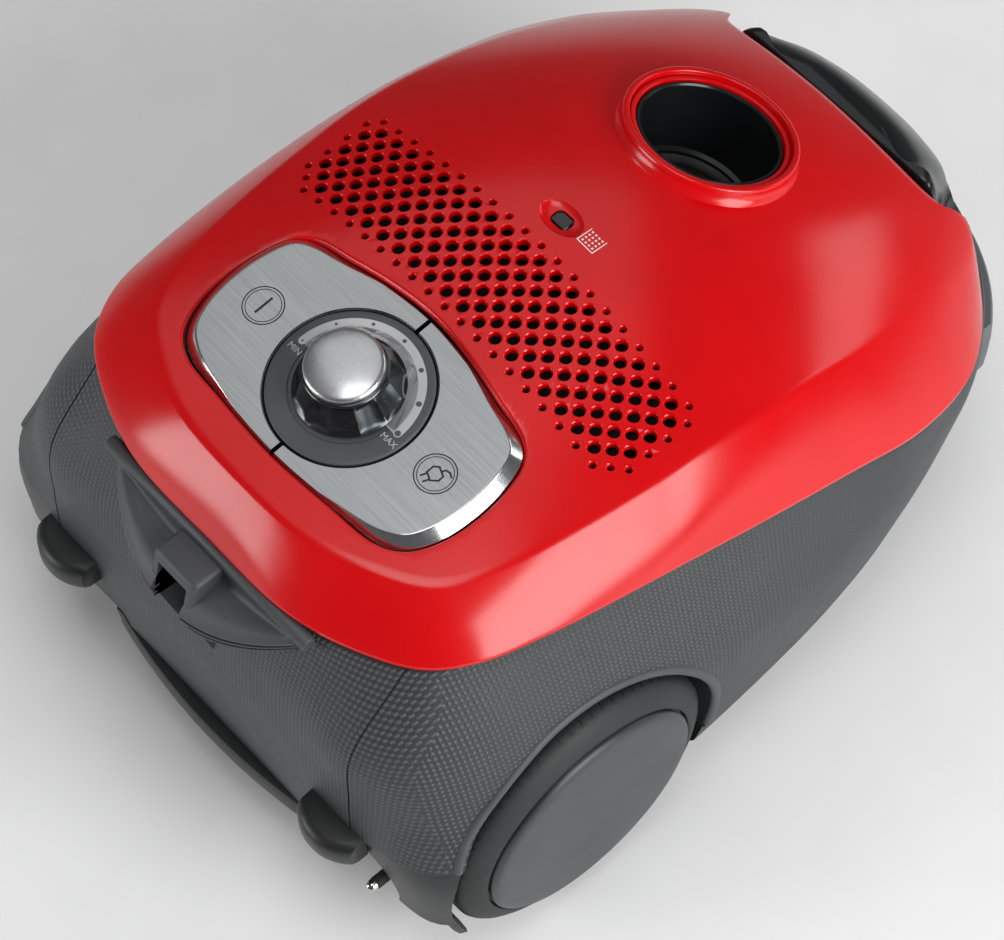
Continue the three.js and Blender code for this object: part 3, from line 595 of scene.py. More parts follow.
def window_opening():
    scoop = bmesh.new()
    bmesh.ops.create_uvsphere(scoop, u_segments=48, v_segments=24, radius=1)
    bmesh.ops.scale(scoop, vec=(10.5, 7.2, 3.2), verts=scoop.verts)
    bmesh.ops.translate(scoop, vec=(0, 7, top_height(0, 7) + 0.9), verts=scoop.verts)
    slot = block(-4.4, 4.4, 3.6, 10.4, 185, 215, 2.6, 5)
    return cutter(scoop), cutter(slot)


carve(cover, key_opening(), hose_hole, *window_opening(), crisp=38)

# %% Vents
VENT_PITCH = 8.8
VENT_ROW_STEP = 4.744
VENT_HALF_ROWS = [9, 9.5, 10, 9.5, 10, 9.5, 10, 9.5, 10, 9.5]


def vent_places():
    """(x, y, radius) of each vent, row by row from the back."""
    for row, half in enumerate(VENT_HALF_ROWS):
        y = -28.6 + (row - 4.5) * VENT_ROW_STEP
        for k in range(int(2 * half) + 1):
            column = k - half
            at_end = abs(column) == half and row in (1, 2, 4, 6, 8)
            small = row in (0, 9) or at_end
            yield column * VENT_PITCH, y, (1.35 if small else 2.45)


def vent_tool():
    tools = []
    for x, y, r in vent_places():
        tool = spun([(0, -9), (r, -9), (r, -0.5), (r + 0.16, -0.2), (r + 0.5, 0.04), (r + 0.5, 3), (0, 3)], 18)
        slope = math.degrees(math.atan((top_height(x, y + 1) - top_height(x, y - 1)) / 2))
        tools.append(shift(tool, x, y, top_height(x, y), slope))
    print("vents", len(tools))
    return cutter(together(*tools))


carve(cover, vent_tool(), crisp=38)

# %% [markdown]
# ### Hose mouth and window
# The hose snaps into a black socket. Two raised rings round it, part of the red moulding, guide the hose in.
# They are turned shapes, tilted with the nose of the cover. The window shows a flag when the bag is full.

# %% Hose mouth
rim_profile = [(29.3, -7), (29.3, 1.0), (29.5, 1.5), (29.9, 1.7), (31.0, 1.7), (31.3, 1.4), (31.4, 0.6), (31.7, 0.4),
               (32.0, 0.8), (32.1, 2.9), (32.3, 3.3), (32.7, 3.5), (34.0, 3.5), (34.5, 3.3), (34.8, 2.8), (34.9, 1.6),
               (35.1, -0.4), (35.8, -1.4), (36.6, -3.4), (33, -7)]
finish_piece("hose_rim", on_inlet(spun(rim_profile, 128)), "lid", red_abs, crisp=40)

socket_profile = [(26.9, -44), (28.8, -44), (28.9, 0.2), (28.4, 0.9), (27.6, 0.9), (27.1, 0.2), (26.9, -28), (26.3, -29.6),
                  (24.6, -30.6), (24.4, -31.2), (24.4, -37.6), (25, -38.4), (26.9, -39)]
finish_piece("hose_socket", on_inlet(spun(socket_profile, 96)), "lid", gloss_black_abs, "inlet_tube",
             crisp=35)
seal_profile = [(21.5, -34.9), (22.0, -33.8), (23.0, -32.4), (24.0, -31.6), (24.1, -37.4), (23.2, -37.2), (21.9, -35.8)]
finish_piece("hose_seal", on_inlet(spun(seal_profile, 96)), "lid", soft_rubber, "inlet_seal", crisp=50)
window = block(-3.8, 3.8, 4.2, 9.8, 205.9, 207.3, 0.5)
finish_piece("bag_window", window, "lid", smoked_acrylic, "indicator_window")

# %% Full-bag sign beside the window
def flat_bar(x0, x1, y0, y1, thick=0.05):
    """A printed bar lying on the dome."""
    bm = bmesh.new()
    bmesh.ops.create_grid(bm, x_segments=6, y_segments=6, size=0.5)
    for v in bm.verts:
        x, y = between(x0, x1, v.co.x + 0.5), between(y0, y1, v.co.y + 0.5)
        v.co = (x, y, top_height(x, y) + thick)
    return bm


def full_bag_sign(cx, cy):
    """A tray outline with dots of dust falling into it."""
    marks = [flat_bar(cx - 4.2, cx - 3.8, cy - 3.6, cy + 3.6), flat_bar(cx + 3.8, cx + 4.2, cy - 3.6, cy + 3.6),
             flat_bar(cx - 4.2, cx + 4.2, cy - 4.0, cy - 3.6)]
    for row in range(4):
        for column in range(4):
            x, y = cx - 2.55 + 1.7 * column, cy - 2.4 + 1.7 * row
            marks.append(flat_bar(x - 0.4, x + 0.4, y - 0.4, y + 0.4))
    return together(*marks)


sign = full_bag_sign(14.5, 8.5)
finish_piece("full_bag_sign", sign, "lid", white_ink, recalc=False)

# %% [markdown]
# ## The body shell
# The body is one tub of grey polypropylene. Its wall is narrow under the cover, swells over the wheels and
# tucks in at the foot, so it is built as outlines at six levels with a smooth curve through them, and the two
# wheel wells are cut out of it afterwards. A cup inside each well closes the tub behind the wheel.

# %% Body outlines
BODY_BOTTOM = 43
BODY_FOOT = [(0, -170), (60, -170), (96, -170), (122, -166), (132, -154), (132, -120), (130, -50), (127, 0),
             (122, 45), (113, 86), (99, 119), (83, 143), (66, 160), (42, 172), (0, 177)]
BODY_LOW = [(0, -173), (60, -173), (96, -172.5), (121, -168), (132, -155), (132.5, -120), (131.5, -60), (130, 0),
            (126, 45), (118, 86), (104, 121), (88, 146), (70, 164), (44, 176), (0, 181)]
BODY_MIDDLE = [(0, -173.5), (58, -173.5), (92, -172), (113, -163), (126, -143), (130, -110), (130, -50),
               (129.5, 0), (127, 45), (120, 86), (107, 122), (91, 148), (72, 167), (45, 179), (0, 183)]
BODY_HIGH = [(0, -170.5), (55, -171), (86.6, -170), (104, -159), (116, -135), (120, -100), (122.5, -40),
             (123.5, 0), (123.5, 45), (120.5, 85), (110, 122), (93, 148), (73, 167), (45, 180), (0, 184)]
BODY_SHOULDER = [(0, -163), (46, -162), (74, -154), (93, -142), (103, -120), (108.5, -97), (113, -68),
                 (116.3, -37), (119, 0), (120.6, 45), (120, 84), (109, 121), (92, 147), (72, 164), (45, 177),
                 (0, 182)]
BODY_RIM = [(0, -160.5), (44, -159), (72, -150), (91, -138), (101, -119), (106.5, -97), (111, -68),
            (114.5, -37), (117.4, 0), (119.2, 45), (119, 82), (109, 117), (87, 145), (69, 155), (56, 148.5),
            (0, 144.5)]
BODY_LEVELS = [(0.0, smooth_loop(BODY_FOOT, AROUND)), (0.28, smooth_loop(BODY_LOW, AROUND)),
               (0.48, smooth_loop(BODY_MIDDLE, AROUND)), (0.74, smooth_loop(BODY_HIGH, AROUND)),
               (0.95, smooth_loop(BODY_SHOULDER, AROUND)), (1.0, smooth_loop(BODY_RIM, AROUND))]


def body_plan(share):
    """The body's outline part of the way up, on a smooth curve through the six levels."""
    levels = [level for level, _ in BODY_LEVELS]
    i = max(0, min(len(levels) - 2, next((n for n, v in enumerate(levels) if v > share), len(levels)) - 1))
    (a, low), (b, high) = BODY_LEVELS[i], BODY_LEVELS[i + 1]
    t = (share - a) / (b - a)
    plan = []
    for k in range(AROUND):
        before = BODY_LEVELS[i - 1] if i else None
        after = BODY_LEVELS[i + 2] if i + 2 < len(levels) - 1 else None
        m0 = (high[k] - before[1][k]) / (b - before[0]) * (b - a) if before else high[k] - low[k]
        m1 = (after[1][k] - low[k]) / (after[0] - a) * (b - a) if after else high[k] - low[k]
        plan.append((2 * t ** 3 - 3 * t ** 2 + 1) * low[k] + (t ** 3 - 2 * t ** 2 + t) * m0
                    + (-2 * t ** 3 + 3 * t ** 2) * high[k] + (t ** 3 - t ** 2) * m1)
    return plan


def body_row(share, by=0.0, up=0.0):
    plan = inset(body_plan(share), by)
    return at_height(plan, lambda x, y: BODY_BOTTOM + (edge_height(y) - 1.2 - BODY_BOTTOM) * share + up)


OUTER_SHARES = [0, 0.03, 0.08, 0.14, 0.2, 0.26, 0.32, 0.38, 0.44, 0.5, 0.56, 0.62, 0.68, 0.74, 0.79, 0.84, 0.88, 0.915,
                0.94, 0.955, 0.968, 0.978]


def body_solid(by=0.0, down=0.0):
    """The whole space inside the body's outer face, as a cutter."""
    return cutter(wrap([body_row(share, by, -down if not share else 0) for share in OUTER_SHARES]))


body_rows = [body_row(share) for share in OUTER_SHARES]
body_rows += [body_row(0.984, 0.8), body_row(0.984, 2.4), body_row(0.982, WALL)]
body_rows += [body_row(share, WALL) for share in (0.95, 0.85, 0.74, 0.6, 0.48, 0.28, 0.1, 0.0)]
body = finish_piece("body_shell", wrap(body_rows, closed_profile=True), "base", etched_grey, "base_shell",
                    crisp=40)

gasket_rows = [body_row(share, by, up) for share, by, up in ((0.95, 1.3, 0), (1.0, 1.3, 0.7), (1.0, 2.6, 0.7), (0.95, 2.6, 0))]
finish_piece("cover_gasket", wrap(gasket_rows, closed_profile=True), "base", soft_rubber)

# %% Wheel wells, rear skirts
WHEEL_Y, WHEEL_Z = -95.6, 61
WELL_RADIUS = 65
WELL_DEPTH = 102.5


def wheel_cylinder(radius, x0, x1, steps=128):
    return shift(spun([(0, x0), (radius, x0), (radius, x1), (0, x1)], steps, "X"), y=WHEEL_Y, z=WHEEL_Z)


def both_sides(make):
    return [cutter(make()), cutter(mirror_x(make()))]


def skirt_prism(grow=0.0):
    """The space below the rising lower edge of the rear corner."""
    bm = bmesh.new()
    corner = [(50, 20), (52, 46), (57, 56), (71, 68), (89, 78.5), (110, 85), (142, 88.5), (142, 20)]
    face = bm.faces.new([bm.verts.new((x, -200, z - (grow if z > 40 else 0))) for x, z in corner])
    side = bmesh.ops.extrude_face_region(bm, geom=[face])
    bmesh.ops.translate(bm, vec=(0, 62, 0), verts=[v for v in side["geom"] if isinstance(v, bmesh.types.BMVert)])
    return bm


for well_cup in both_sides(lambda: wheel_cylinder(WELL_RADIUS + 2.5, WELL_DEPTH - 2.5, 150)):
    cup = finish_piece("cup", bmesh.new(), "base", etched_grey)
    cup.data = well_cup.data.copy()
    bpy.data.objects.remove(well_cup)
    carve(cup, body_solid(0.2), operation="INTERSECT")
    carve(body, cup, operation="UNION")
carve(body, *both_sides(lambda: wheel_cylinder(WELL_RADIUS, WELL_DEPTH, 160)), *both_sides(skirt_prism), crisp=40)

# %% Corner seams, grip seat and parking slot in the body
def seam_tool(x):
    """A thin slab that only reaches 0.6 mm into the wall."""
    tool = finish_piece("seam", block(x - 0.4, x + 0.4, -200, -120, 60, 185), "base", etched_grey)
    carve(tool, body_solid(0.6), operation="DIFFERENCE")
    return tool


GRIP_HALF = 50


def grip_fullness(x):
    """How far the lip stands out at x: 1 in the middle, 0 at the tips."""
    return 1 - abs(x / GRIP_HALF) ** 2.1


seat_rows = []
for k in range(65):
    x = between(-GRIP_HALF, GRIP_HALF, k / 64)
    low = between(158.6, 141.2, grip_fullness(x))
    seat_rows.append([Vector((x, y, z)) for y, z in ((-162, low), (-162, 185), (-195, 185), (-195, low))])
carve(body, seam_tool(86), seam_tool(-86), cutter(wrap(seat_rows)), cutter(block(-8, 8, -190, -163.5, 118, 150)),
      crisp=40)
lining = finish_piece("slot_lining", block(-10.5, 10.5, -168.5, -160.5, 115.5, 166), "base", ribbed_black_abs)
carve(lining, cutter(block(-7.9, 7.9, -175, -163.5, 118, 163)))

# %% [markdown]
# ## Wheel arches
# The wall rolls over the wheel in a smooth lip. Rays cast at the finished body find where the wall stands all
# round the arch, and a flattened tube follows those points.

# %% Arch lips
def body_tree():
    bm = bmesh.new()
    bm.from_mesh(body.data)
    tree = BVHTree.FromBMesh(bm)
    bm.free()
    return tree


tree = body_tree()


def arch_lip(side):
    """A tube along the arch, its outer face 1.2 mm proud of the wall."""
    rows = []
    for k in range(61):
        angle = math.radians(between(-14, 157, k / 60))
        out = Vector((0, math.cos(angle), math.sin(angle)))
        centre = Vector((0, WHEEL_Y, WHEEL_Z)) + out * (WELL_RADIUS + 1.6)
        hit = tree.ray_cast(Vector((side * 0.2, centre.y * MM, centre.z * MM)), Vector((-side, 0, 0)))[0]
        face = abs(hit.x) / MM if hit else 128
        ring = []
        for j in range(12):
            turn_by = 2 * math.pi * j / 12
            ring.append(Vector((side * (face - 1.1 + 2.1 * math.cos(turn_by)), centre.y, centre.z))
                        + out * 2.3 * math.sin(turn_by))
        rows.append(ring)
    return wrap(rows)


for side, label in ((1, "right"), (-1, "left")):
    finish_piece(f"arch_lip_{label}", arch_lip(side), "base", smooth_grey_abs, crisp=60)

# %% [markdown]
# ## Rear skirts, feet and chassis pan
# Under the rising edge of the rear corners a darker skirt closes the body down to the pan. Two black blocks
# stand out there. The cleaner rests on them when it is parked on end.

# %% Skirts and feet
plug_hole = lambda: shift(spun([(0, -200), (19.2, -200), (19.2, -118), (0, -118)], 64, "Y"), x=87.5, z=49)
for side, label in ((1, "right"), (-1, "left")):
    leans = [(share, 1.4) for share in OUTER_SHARES[:14]]
    rows = [body_row(share, by, 0.3) for share, by in leans]
    rows += [body_row(share, by + 2.6, 0.3) for share, by in reversed(leans)]
    skirt = finish_piece(f"rear_skirt_cover_{label}", wrap(rows, closed_profile=True), "base", dark_grey_abs,
                         f"rear_skirt_{label}")
    prism = skirt_prism(0.35)
    if side < 0:
        mirror_x(prism)
    carve(skirt, cutter(prism), operation="INTERSECT")
    cuts = [cutter(wheel_cylinder(WELL_RADIUS + 0.1, 90, 160)) if side > 0
            else cutter(mirror_x(wheel_cylinder(WELL_RADIUS + 0.1, 90, 160)))]
    carve(skirt, *cuts, *([cutter(plug_hole())] if side > 0 else []))

    foot_profile = [(0, 66.8), (15.5, 66.8), (18.2, 67.5), (19.7, 69.0), (20.2, 71), (20.2, 77), (19.7, 78.5), (18.2, 80.2),
                    (15.5, 80.9), (0, 80.9)]
    foot = shift(spun(foot_profile, 64), x=78, y=-166)
    foot_piece = finish_piece(f"foot_block_{label}", mirror_x(foot) if side < 0 else foot, "base", ribbed_black_abs,
                              f"parking_foot_{label}", crisp=45)
    bounds = block(64, 93, -185.95, -150, 60, 85, 3.5, 5)
    carve(foot_piece, cutter(mirror_x(bounds) if side < 0 else bounds), operation="INTERSECT", crisp=45)
    carve(foot_piece, body_solid(1.0), *([cutter(plug_hole())] if side > 0 else []), crisp=45)

# %% Chassis pan
PAN_BOTTOM, PAN_TOP = 30, 42.8
foot_loop = smooth_loop(BODY_FOOT, AROUND)
pan_rows = [at_height(inset(foot_loop, by), z) for by, z in
            ((8.5, PAN_BOTTOM), (4.5, PAN_BOTTOM + 1.2), (1.9, PAN_BOTTOM + 4), (1.0, PAN_TOP - 1.4), (1.0, PAN_TOP - 0.2),
             (1.4, PAN_TOP), (4, PAN_TOP), (4.6, PAN_TOP - 2), (9, PAN_BOTTOM + 3))]
pan = finish_piece("chassis_tray", wrap(pan_rows), "base", ribbed_black_abs, "chassis_pan")
boss = cutter(shift(spun([(0, PAN_BOTTOM), (19, PAN_BOTTOM), (19, PAN_TOP - 1), (0, PAN_TOP - 1)], 64), y=118))
caster_hole = cutter(shift(spun([(0, 20), (6.4, 20), (6.4, 60), (0, 60)], 48), y=118))
STRIP_HALF = 60
strip_rows = []
for k in range(33):
    x = between(-STRIP_HALF, STRIP_HALF, k / 32)
    back = -169 - 6.4 * (1 - (x / STRIP_HALF) ** 2)
    strip_rows.append([Vector((x, y, z)) for y, z in ((-164, 31.6), (back + 1.2, 31.6), (back + 0.3, 32), (back, 33.2),
                                                      (back, 41), (back + 0.4, 42.1), (back + 1.4, 42.5), (-164, 42.5))])
carve(pan, boss, cutter(wrap(strip_rows)), operation="UNION")
carve(pan, caster_hole, cutter(plug_hole()), *both_sides(lambda: wheel_cylinder(WELL_RADIUS, WELL_DEPTH, 160)),
      *both_sides(lambda: block(62, 140, -200, -157.5, 20, 43.2)))

# %% [markdown]
# ## Wheels
# Each wheel is a hub with a soft tread round it and a flat satin disc over the middle. All are turned shapes.
# The disc has a shallow dome, a chamfered rim and a fine dark gap round it.

# %% Wheels
tyre_profile = [(50.3, 107), (57.5, 107), (59.6, 107.6), (60.8, 109.2), (61, 111), (61, 124), (60.8, 125.4),
                (60.0, 126.9), (58.6, 128.4), (56, 130.1), (53, 131.4), (51.4, 131.9), (50.6, 131.7), (50.3, 131.2)]
disc_profile = [(0, 131.6), (43, 131.0), (46, 130.9), (49.2, 130.9), (49.5, 131.2), (49.5, 132.3), (49.3, 132.8),
                (48.6, 133.5), (47.9, 134.0), (47.2, 134.25), (44, 134.5), (36, 134.95), (24, 135.3), (12, 135.45),
                (0, 135.5)]
hub_profile = [(5.4, 103.2), (12, 103.2), (12, 122), (42, 124), (44, 107), (49.8, 107), (50, 107.3), (50, 130.2),
               (49.7, 130.4), (46, 130.4), (44, 128), (12, 126), (5.4, 126)]


def wheel_shape(profile, steps=128):
    return shift(spun(profile, steps, "X"), y=WHEEL_Y, z=WHEEL_Z)


def tread_grooves():
    """Fine cross grooves over the tread's outer shoulder."""
    tools = []
    for k in range(72):
        angle = 2 * math.pi * k / 72
        tool = block(110, 126, -0.45, 0.45, 60.5, 63)
        bmesh.ops.rotate(tool, verts=tool.verts, cent=(0, 0, 0), matrix=Matrix.Rotation(angle, 3, "X"))
        tools.append(shift(tool, y=WHEEL_Y, z=WHEEL_Z))
    return together(*tools)


for side, label in ((1, "right"), (-1, "left")):
    for name, profile, look, slot_name in (("tyre", tyre_profile, tread_rubber, "tyre"),
                                           ("hub", hub_profile, ribbed_black_abs, "black_plastic"),
                                           ("cover", disc_profile, disc_grey_abs, "dark_plastic")):
        shape = wheel_shape(profile)
        if side < 0:
            mirror_x(shape)
        made = finish_piece(f"wheel_{name}_{label}_turned", shape, f"wheel_{label}", look, f"wheel_{name}_{label}",
                            crisp=40)
        if name == "tyre":
            grooves = tread_grooves()
            carve(made, cutter(mirror_x(grooves) if side < 0 else grooves), crisp=40)

# %% [markdown]
# ## Keys and dial
# Two foot keys share one rounded outline round the dial. Each is an aluminium plate with a wide polished bevel.
# The marks are engraved. They are cut from the plate with thin tools, so the light catches their edges.

# %% Key plates
KEY_TOP = 0.0
DIAL_RADIUS = 30.9
SLIT = 0.9


def ring_tool(radius, wide, deep, u=0.0, v=0.0):
    profile = [(radius - wide, -deep), (radius + wide, -deep), (radius + wide, 2), (radius - wide, 2)]
    bm = spun(profile, 64)
    bmesh.ops.translate(bm, vec=(u, v, KEY_TOP), verts=bm.verts)
    return bm


def key_plate():
    """The plate's rows; its bevel is wide at the ends of the panel and narrow along the front and back."""
    rows = [at_height(inset(key_loop, by), h) for by, h in ((0.3, -8), (0, -7.6), (0, -5.0))]
    for by, h in ((0.12, -4.35), (0.4, -4.05), (3.7, -0.5), (4.0, -0.2), (4.35, -0.04), (4.8, 0)):
        row = []
        for outer, inner in zip(key_loop, inset(key_loop, by)):
            share = between(0.24, 1.0, min(1, max(0, (abs(outer.x) - 24) / 30)))
            row.append(Vector((*outer.lerp(inner, share), h * share)))
        rows.append(row)
    return wrap(rows)


def key_marks(side):
    """Engraved rings and signs: a bar for on and off, a plug for the cord."""
    u = 47.2 * side
    tools = [ring_tool(7.8, 0.24, 0.4, u, -0.8), ring_tool(6.7, 0.17, 0.4, u, -0.8)]
    if side < 0:
        tools.append(block(u - 0.5, u + 0.5, -4.9, 3.6, -0.4, 1))
        return tools
    lines = [((-1.8, -2.6), (1.8, -2.6)), ((1.8, -2.6), (3.0, 0.2)), ((3.0, 0.2), (2.0, 2.2)), ((2.0, 2.2), (-2.0, 2.2)),
             ((-2.0, 2.2), (-3.0, 0.2)), ((-3.0, 0.2), (-1.8, -2.6)), ((-1.3, -2.6), (-1.3, -5.0)),
             ((1.3, -2.6), (1.3, -5.0)), ((0, 2.2), (0, 3.8)), ((0, 3.8), (1.4, 4.9)), ((1.4, 4.9), (3.4, 4.9))]
    turn_by = Matrix.Rotation(math.radians(-24), 3, "Z")
    for (x0, y0), (x1, y1) in lines:
        start, end = Vector((x0, y0, 0)), Vector((x1, y1, 0))
        length = (end - start).length
        bar = block(-0.3, length + 0.3, -0.36, 0.36, -0.4, 1)
        angle = math.atan2(y1 - y0, x1 - x0)
        bmesh.ops.rotate(bar, verts=bar.verts, cent=(0, 0, 0), matrix=Matrix.Rotation(angle, 3, "Z"))
        bmesh.ops.translate(bar, vec=start, verts=bar.verts)
        bmesh.ops.rotate(bar, verts=bar.verts, cent=(0, 0, 0), matrix=turn_by)
        bmesh.ops.translate(bar, vec=(u, -0.8, 0), verts=bar.verts)
        tools.append(bar)
    return tools


def key_materials(piece, side):
    """Brushed on top, polished on the bevel, and dark in the engraving."""
    tilt = Matrix.Rotation(math.radians(PANEL_PLACE["tilt"]), 3, "X")
    origin = Vector((0, PANEL_PLACE["y"], PANEL_PLACE["z"])) * MM
    for polygon in piece.data.polygons:
        place = tilt.inverted() @ (polygon.center - origin) / MM
        engraved = (place.xy - Vector((47.2 * side, -0.8))).length < 9.5 and -0.6 < place.z < -0.05
        on_top = polygon.normal.dot(tilt @ Vector((0, 0, 1))) > 0.985
        polygon.material_index = 2 if engraved else 0 if on_top else 1


for side, name, body_name in ((-1, "key_power", "power_key"), (1, "key_rewind", "rewind_key")):
    key = finish_piece(f"{name}_plate", on_panel(key_plate()), body_name, [brushed_aluminium, bright_aluminium, engraving_fill],
                       name)
    rim = DIAL_RADIUS + 0.6
    dial_tool = [(0, -20), (rim, -20), (rim, -0.75), (rim + 0.25, -0.4), (rim + 0.75, 0.02), (rim + 0.75, 10), (0, 10)]
    half = block(-100, SLIT, -60, 60, -30, 20) if side > 0 else block(-SLIT, 100, -60, 60, -30, 20)
    carve(key, cutter(on_panel(spun(dial_tool, 128))), cutter(on_panel(half)))
    for tool in key_marks(side):
        carve(key, cutter(on_panel(tool)), crisp=25)
    key_materials(key, side)

# %% Panel tray and dial
tray_rows = [at_height(inset(key_loop, by), h) for by, h in ((-0.4, -18), (-1.5, -17.5), (-1.5, -5.3), (-0.5, -5.3), (-0.5, -16))]
tray = finish_piece("key_tray", on_panel(wrap(tray_rows)), "lid", ribbed_black_abs, "panel_tray")
pillar = cutter(on_panel(spun([(0, -17), (26, -17), (26, -2.4), (0, -2.4)], 64)))
carve(tray, pillar, operation="UNION")
carve(tray, cutter(on_panel(spun([(0, -30), (4.6, -30), (4.6, 10), (0, 10)], 32))))

dial_profile = [(4.4, -1.9), (30.5, -1.9), (30.9, -1.5), (30.9, -0.25), (30.6, 0.1), (30.2, 0.28), (29.6, 0.36), (22.9, 0.36),
                (22.5, 0.0), (4.4, 0.0)]
finish_piece("dial_face", on_panel(spun(dial_profile, 128)), "lid", dial_grey_abs, "dial_plate")

# %% Scale band, dots and words on the dial
BAND_IN, BAND_OUT = 24.5, 27.7
PRINT = 0.42


def scale_band():
    """A half ring from MIN over the front to MAX, with round ends."""
    bm = bmesh.new()
    middle, half = (BAND_IN + BAND_OUT) / 2, (BAND_OUT - BAND_IN) / 2
    outline = [(BAND_OUT, math.radians(a)) for a in range(0, 181, 3)]
    points = [Vector((r * math.cos(a), r * math.sin(a), PRINT)) for r, a in outline]
    for k in range(1, 8):
        turn_by = math.pi * k / 8
        points.append(Vector((-middle - half * math.cos(turn_by), -half * math.sin(turn_by), PRINT)))
    points += [Vector((BAND_IN * math.cos(math.radians(a)), BAND_IN * math.sin(math.radians(a)), PRINT))
               for a in range(180, -1, -3)]
    for k in range(1, 8):
        turn_by = math.pi * k / 8
        points.append(Vector((middle - half * math.cos(turn_by), -half * math.sin(turn_by), PRINT)))
    bm.faces.new([bm.verts.new(p) for p in points])
    bmesh.ops.triangulate(bm, faces=bm.faces)
    return bm


def disc(radius, u, v, h, steps=24):
    bm = bmesh.new()
    bmesh.ops.create_circle(bm, cap_ends=True, segments=steps, radius=radius)
    bmesh.ops.translate(bm, vec=(u, v, h), verts=bm.verts)
    return bm


band_piece = finish_piece("dial_scale_band", on_panel(scale_band()), "lid", scale_paint, recalc=False)
dots = []
for k, angle in enumerate(range(180, -1, -30)):
    a = math.radians(angle)
    dots.append(disc(0.42 + 0.13 * k, 26.1 * math.cos(a), 26.1 * math.sin(a), PRINT + 0.05))
finish_piece("dial_scale_dots", on_panel(together(*dots)), "lid", dot_paint, recalc=False)


def word(text, u, v, size):
    """Flat letters as a mesh in millimetres."""
    curve = bpy.data.curves.new("word", "FONT")
    curve.body = text
    curve.size = size
    curve.align_x = "CENTER"
    curve.align_y = "CENTER"
    curve.resolution_u = 4
    holder = bpy.data.objects.new("word", curve)
    bpy.context.scene.collection.objects.link(holder)
    bpy.context.view_layer.update()
    mesh = bpy.data.meshes.new_from_object(holder.evaluated_get(bpy.context.evaluated_depsgraph_get()))
    bpy.data.objects.remove(holder)
    bm = bmesh.new()
    bm.from_mesh(mesh)
    bmesh.ops.translate(bm, vec=(u, v, PRINT), verts=bm.verts)
    return bm


for text, u in (("MIN", -25.6), ("MAX", 25.9)):
    finish_piece(f"dial_word_{text.lower()}", on_panel(word(text, u, -4.2, 3.5)), "lid", scale_paint,
                 recalc=False)

# %% [markdown]
# ## The knob
# Its flank is a cone with twelve finger scallops, thin ribs between them and a flared foot, all plated dark chrome.
# A grid wrapped round the axis takes each radius from a formula. The satin cap is a turned dome.

# %% Knob
def knob_radius(angle, share):
    """Radius at a share of the height: a flared cone less the scallops."""
    cone = 20.9 - 5.3 * share ** 0.8
    phase = (angle * 12 / (2 * math.pi)) % 1
    scallop = max(0.0, 1 - abs(2 * phase - 1) ** 2.6)
    depth = 1.05 * min(1, share / 0.1) * max(0.0, min(1, (0.93 - share) / 0.16)) ** 0.5
    return cone - depth * scallop


knob_rows = [[Vector((0, 0, 0.95))] * 288]
for r in (20.4, 20.9):
    knob_rows.append([Vector((r * math.cos(2 * math.pi * k / 288), r * math.sin(2 * math.pi * k / 288),
                              0.95 if r < 20.5 else 1.3)) for k in range(288)])
for j in range(1, 23):
    share = j / 22
    row = []
    for k in range(288):
        angle = 2 * math.pi * k / 288
        r = knob_radius(angle, share)
        row.append(Vector((r * math.cos(angle), r * math.sin(angle), 1.3 + 13.0 * share)))
    knob_rows.append(row)
knob_rows.append([Vector((15.0 * math.cos(2 * math.pi * k / 288), 15.0 * math.sin(2 * math.pi * k / 288), 14.55))
                  for k in range(288)])
knob_rows.append([Vector((0, 0, 14.55))] * 288)
finish_piece("knob_flank", on_panel(wrap(knob_rows)), "knob", dark_chrome, "knob_skirt", crisp=50)
cap_profile = [(0, 14.9), (14.2, 14.9), (14.8, 15.2), (14.9, 15.6), (14.9, 16.7), (14.7, 17.2), (14.1, 17.65), (13.0, 18.0),
               (10, 18.75), (6, 19.25), (3, 19.45), (0, 19.5)]
finish_piece("knob_dome", on_panel(spun(cap_profile, 96)), "knob", turned_aluminium, "knob_cap", crisp=50)

# %% [markdown]
# ## Rear grip
# Under the cover's back edge a curved lip gives a hand hold, with a hollow behind it and three thin ribs below.
# In plan it is a crescent, so one profile is swept across and shrinks into the wall at both ends.
# In its middle a small hood covers the slot that parks the floor nozzle.

# %% Grip lip
GRIP_MIDDLE = [(-161.0, 171.6), (-162.6, 171.9), (-164.4, 171.3), (-165.6, 169.6), (-165.7, 167.6), (-165.4, 163.5),
               (-166.2, 160.6), (-168.2, 159.2), (-171.4, 159.6), (-175.0, 159.4), (-179.0, 157.8), (-182.6, 154.4),
               (-184.4, 151.8), (-184.9, 150.6), (-184.6, 149.8), (-180.6, 149.3), (-180.6, 148.2), (-184.6, 147.7),
               (-184.8, 147.0), (-184.4, 146.2), (-180.0, 145.7), (-180.0, 144.6), (-184.0, 144.1), (-184.2, 143.4),
               (-183.6, 142.6), (-178.0, 141.8), (-161.2, 141.4)]
GRIP_END = [(-160.6, 171.2), (-162.0, 171.3), (-163.4, 170.6), (-164.2, 169.4), (-164.3, 168.6), (-164.2, 167.8),
            (-164.2, 167.2), (-164.3, 166.6), (-164.4, 166.0), (-164.6, 165.4), (-164.8, 164.8), (-165.0, 164.2),
            (-165.1, 163.7), (-165.1, 163.3), (-164.9, 163.0), (-164.5, 162.8), (-164.5, 162.3), (-165.0, 162.1),
            (-165.1, 161.7), (-164.9, 161.4), (-164.5, 161.2), (-164.5, 160.8), (-164.9, 160.6), (-165.0, 160.2),
            (-164.7, 159.8), (-163.5, 159.4), (-160.8, 159.2)]


def grip_rows():
    rows = []
    for k in range(65):
        x = between(-GRIP_HALF, GRIP_HALF, k / 64)
        full = grip_fullness(x)
        rows.append([Vector((x, between(e[0], m[0], full), between(e[1], m[1], full)))
                     for e, m in zip(GRIP_END, GRIP_MIDDLE)])
    return rows


